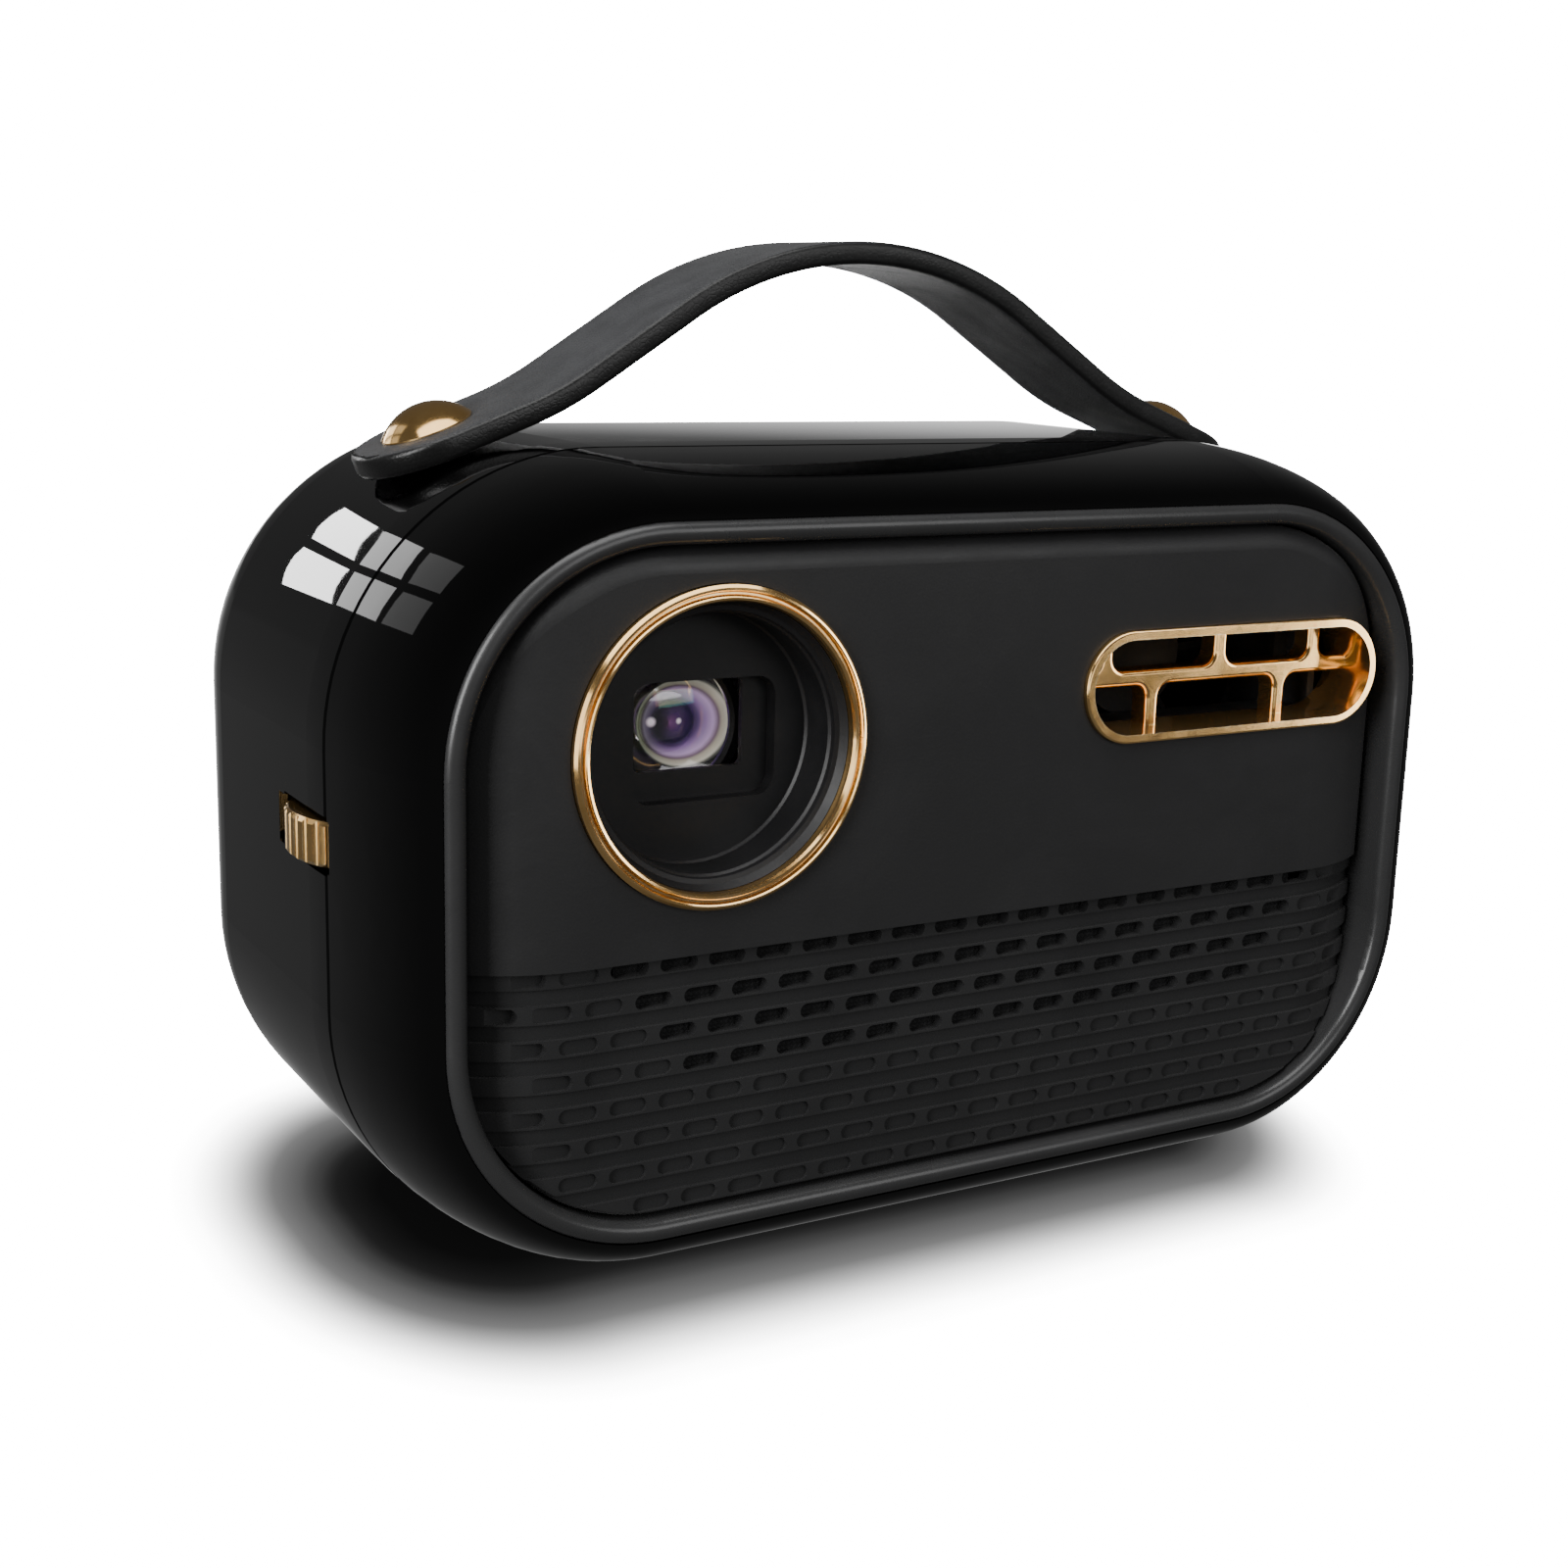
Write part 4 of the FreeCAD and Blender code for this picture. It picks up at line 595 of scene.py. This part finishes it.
def makeWorld(look):
    world = bpy.data.worlds.new("studio")
    bpy.context.scene.world = world
    world.use_nodes = True
    tree = world.node_tree
    tree.nodes.clear()
    way = addNode(tree, "TexCoord").outputs["Generated"]
    facing = arith(tree, "MAXIMUM", vector(tree, "DOT_PRODUCT", way, look["brightSide"]), 0.0)
    height = addNode(tree, "SeparateXYZ", {0: way}).outputs["Z"]
    # a bright patch far behind the object, cut off above the horizon and dimmer towards the ground
    patch = arith(tree, "POWER", facing, look["brightFocus"])
    patch = arith(tree, "MULTIPLY", patch,
                  spread(tree, height, *look["brightTop"], look["brightLevel"], 0.0, "SMOOTHSTEP"))
    patch = arith(tree, "MULTIPLY", patch, spread(tree, height, *look["brightFoot"], look["footLevel"], 1.0))
    soft = arith(tree, "ADD", patch, spread(tree, height, -0.3, 0.8, look["lowLevel"], look["highLevel"]))
    seen = addNode(tree, "LightPath").outputs["Is Camera Ray"]
    level = addNode(tree, "Mix", {0: seen, 2: soft, 3: look["white"]}, data_type="FLOAT").outputs[0]
    back = addNode(tree, "Background", {"Color": grey(1.0), "Strength": level})
    addNode(tree, "OutputWorld", {"Surface": back.outputs[0]})


# each box's place, width and height, and power in watts; the gold has lights of its own
softboxes = {"top_box": ((-0.1, -0.15, 0.9), (0.9, 0.5), 6.0),
             "left_box": ((-0.9, -0.45, 0.45), (0.35, 0.8), 12.0),
             "front_box": ((0.35, -0.95, 0.45), (0.7, 0.5), 2.8),
             "gold_top": ((0.0, -0.35, 0.75), (1.4, 0.7), 12.0),
             "gold_left": ((-0.75, -0.25, 0.12), (0.8, 0.5), 3.5),
             "gold_right": ((0.75, -0.25, 0.12), (0.8, 0.5), 9.0),
             "gold_low": ((0.0, -0.75, 0.02), (1.4, 0.12), 1.3)}


def sortPieces():
    # the glossy shells are in neither group: they only mirror the studio
    gold = bpy.data.collections.new("gold_pieces")
    matt = bpy.data.collections.new("matt_pieces")
    for piece in [thing for thing in bpy.data.objects if thing.type == "MESH"]:
        worn = {slot.material for slot in piece.material_slots}
        if materials["gold_plate"] in worn:
            gold.objects.link(piece)
        elif materials["gloss_shell"] not in worn and piece.name not in ("floor", "window_panes"):
            matt.objects.link(piece)
    return gold, matt


def addSoftbox(name, at, size, power, aim, lit):
    lamp = bpy.data.lights.new(name, "AREA")
    lamp.shape = "RECTANGLE"
    lamp.size, lamp.size_y = size
    lamp.energy = power
    made = link(name, lamp)
    made.location = at
    made.rotation_euler = (Vector(aim) - Vector(at)).to_track_quat("-Z", "Y").to_euler()
    made.light_linking.receiver_collection = lit


# six panes of a window behind the left shoulder, in two rows of three: each one's corners and how bright it is
windowPanes = (
    ((-0.0762, 0.1072, 0.1287), (-0.0820, 0.1047, 0.1333),
     (-0.0976, 0.1043, 0.1225), (-0.0906, 0.1070, 0.1182), 12.0),
    ((-0.0834, 0.1042, 0.1338), (-0.1088, 0.0905, 0.1629),
     (-0.1293, 0.0897, 0.1496), (-0.1008, 0.1031, 0.1242), 3.2),
    ((-0.1157, 0.0871, 0.1695), (-0.1506, 0.0661, 0.2170),
     (-0.1746, 0.0675, 0.1933), (-0.1369, 0.0863, 0.1558), 0.8),
    ((-0.0939, 0.1073, 0.1149), (-0.1010, 0.1044, 0.1194),
     (-0.1120, 0.1059, 0.1057), (-0.1048, 0.1088, 0.1011), 12.0),
    ((-0.1028, 0.1037, 0.1207), (-0.1351, 0.0894, 0.1465),
     (-0.1485, 0.0922, 0.1259), (-0.1143, 0.1049, 0.1074), 3.2),
    ((-0.1425, 0.0863, 0.1517), (-0.1809, 0.0684, 0.1854),
     (-0.2008, 0.0721, 0.1568), (-0.1544, 0.0899, 0.1295), 0.8),
)


def makeWindow(panes):
    bm = bmesh.new()
    glass = []
    for index, (*corners, bright) in enumerate(panes):
        bm.faces.new([bm.verts.new(corner) for corner in corners]).material_index = index
        material, tree = blankMaterial("pane_light")
        mirrored = addNode(tree, "LightPath").outputs["Is Glossy Ray"]
        glow = addNode(tree, "Emission", {"Strength": bright})
        mixed = mixShader(tree, mirrored, addNode(tree, "BsdfTransparent"), glow)
        addNode(tree, "OutputMaterial", {"Surface": mixed})
        glass.append(material)
    mesh = meshFrom("window", bm)
    for material in glass:
        mesh.materials.append(material)
    window = link("window_panes", mesh)
    window.visible_shadow = False


makeFloor(studio)
makeWorld(studio)
makeWindow(windowPanes)
goldPieces, mattPieces = sortPieces()
for name, (at, size, power) in softboxes.items():
    addSoftbox(name, at, size, power, studio["middle"], goldPieces if name.startswith("gold") else mattPieces)
print("floor, window and lights placed")


view = {"at": (-0.15625, -0.25845, 0.12137), "aim": (-0.03009, -0.03995, 0.06470), "roll": math.radians(1.56),
        "lens": 49.56}


def placeCamera(look):
    ahead = (Vector(look["aim"]) - Vector(look["at"])).normalized()
    right = ahead.cross(Vector((0.0, 0.0, 1.0))).normalized()
    above = right.cross(ahead)
    turned = math.cos(look["roll"]) * right + math.sin(look["roll"]) * above
    upright = -math.sin(look["roll"]) * right + math.cos(look["roll"]) * above
    pose = Matrix((turned, upright, -ahead)).transposed().to_4x4()
    pose.translation = Vector(look["at"])
    seen = bpy.data.cameras.new("camera")
    seen.lens = look["lens"]
    seen.sensor_width = 36.0
    seen.clip_start = 0.01
    camera = link("camera", seen)
    camera.matrix_world = pose
    bpy.context.scene.camera = camera


placeCamera(view)
print("camera set")
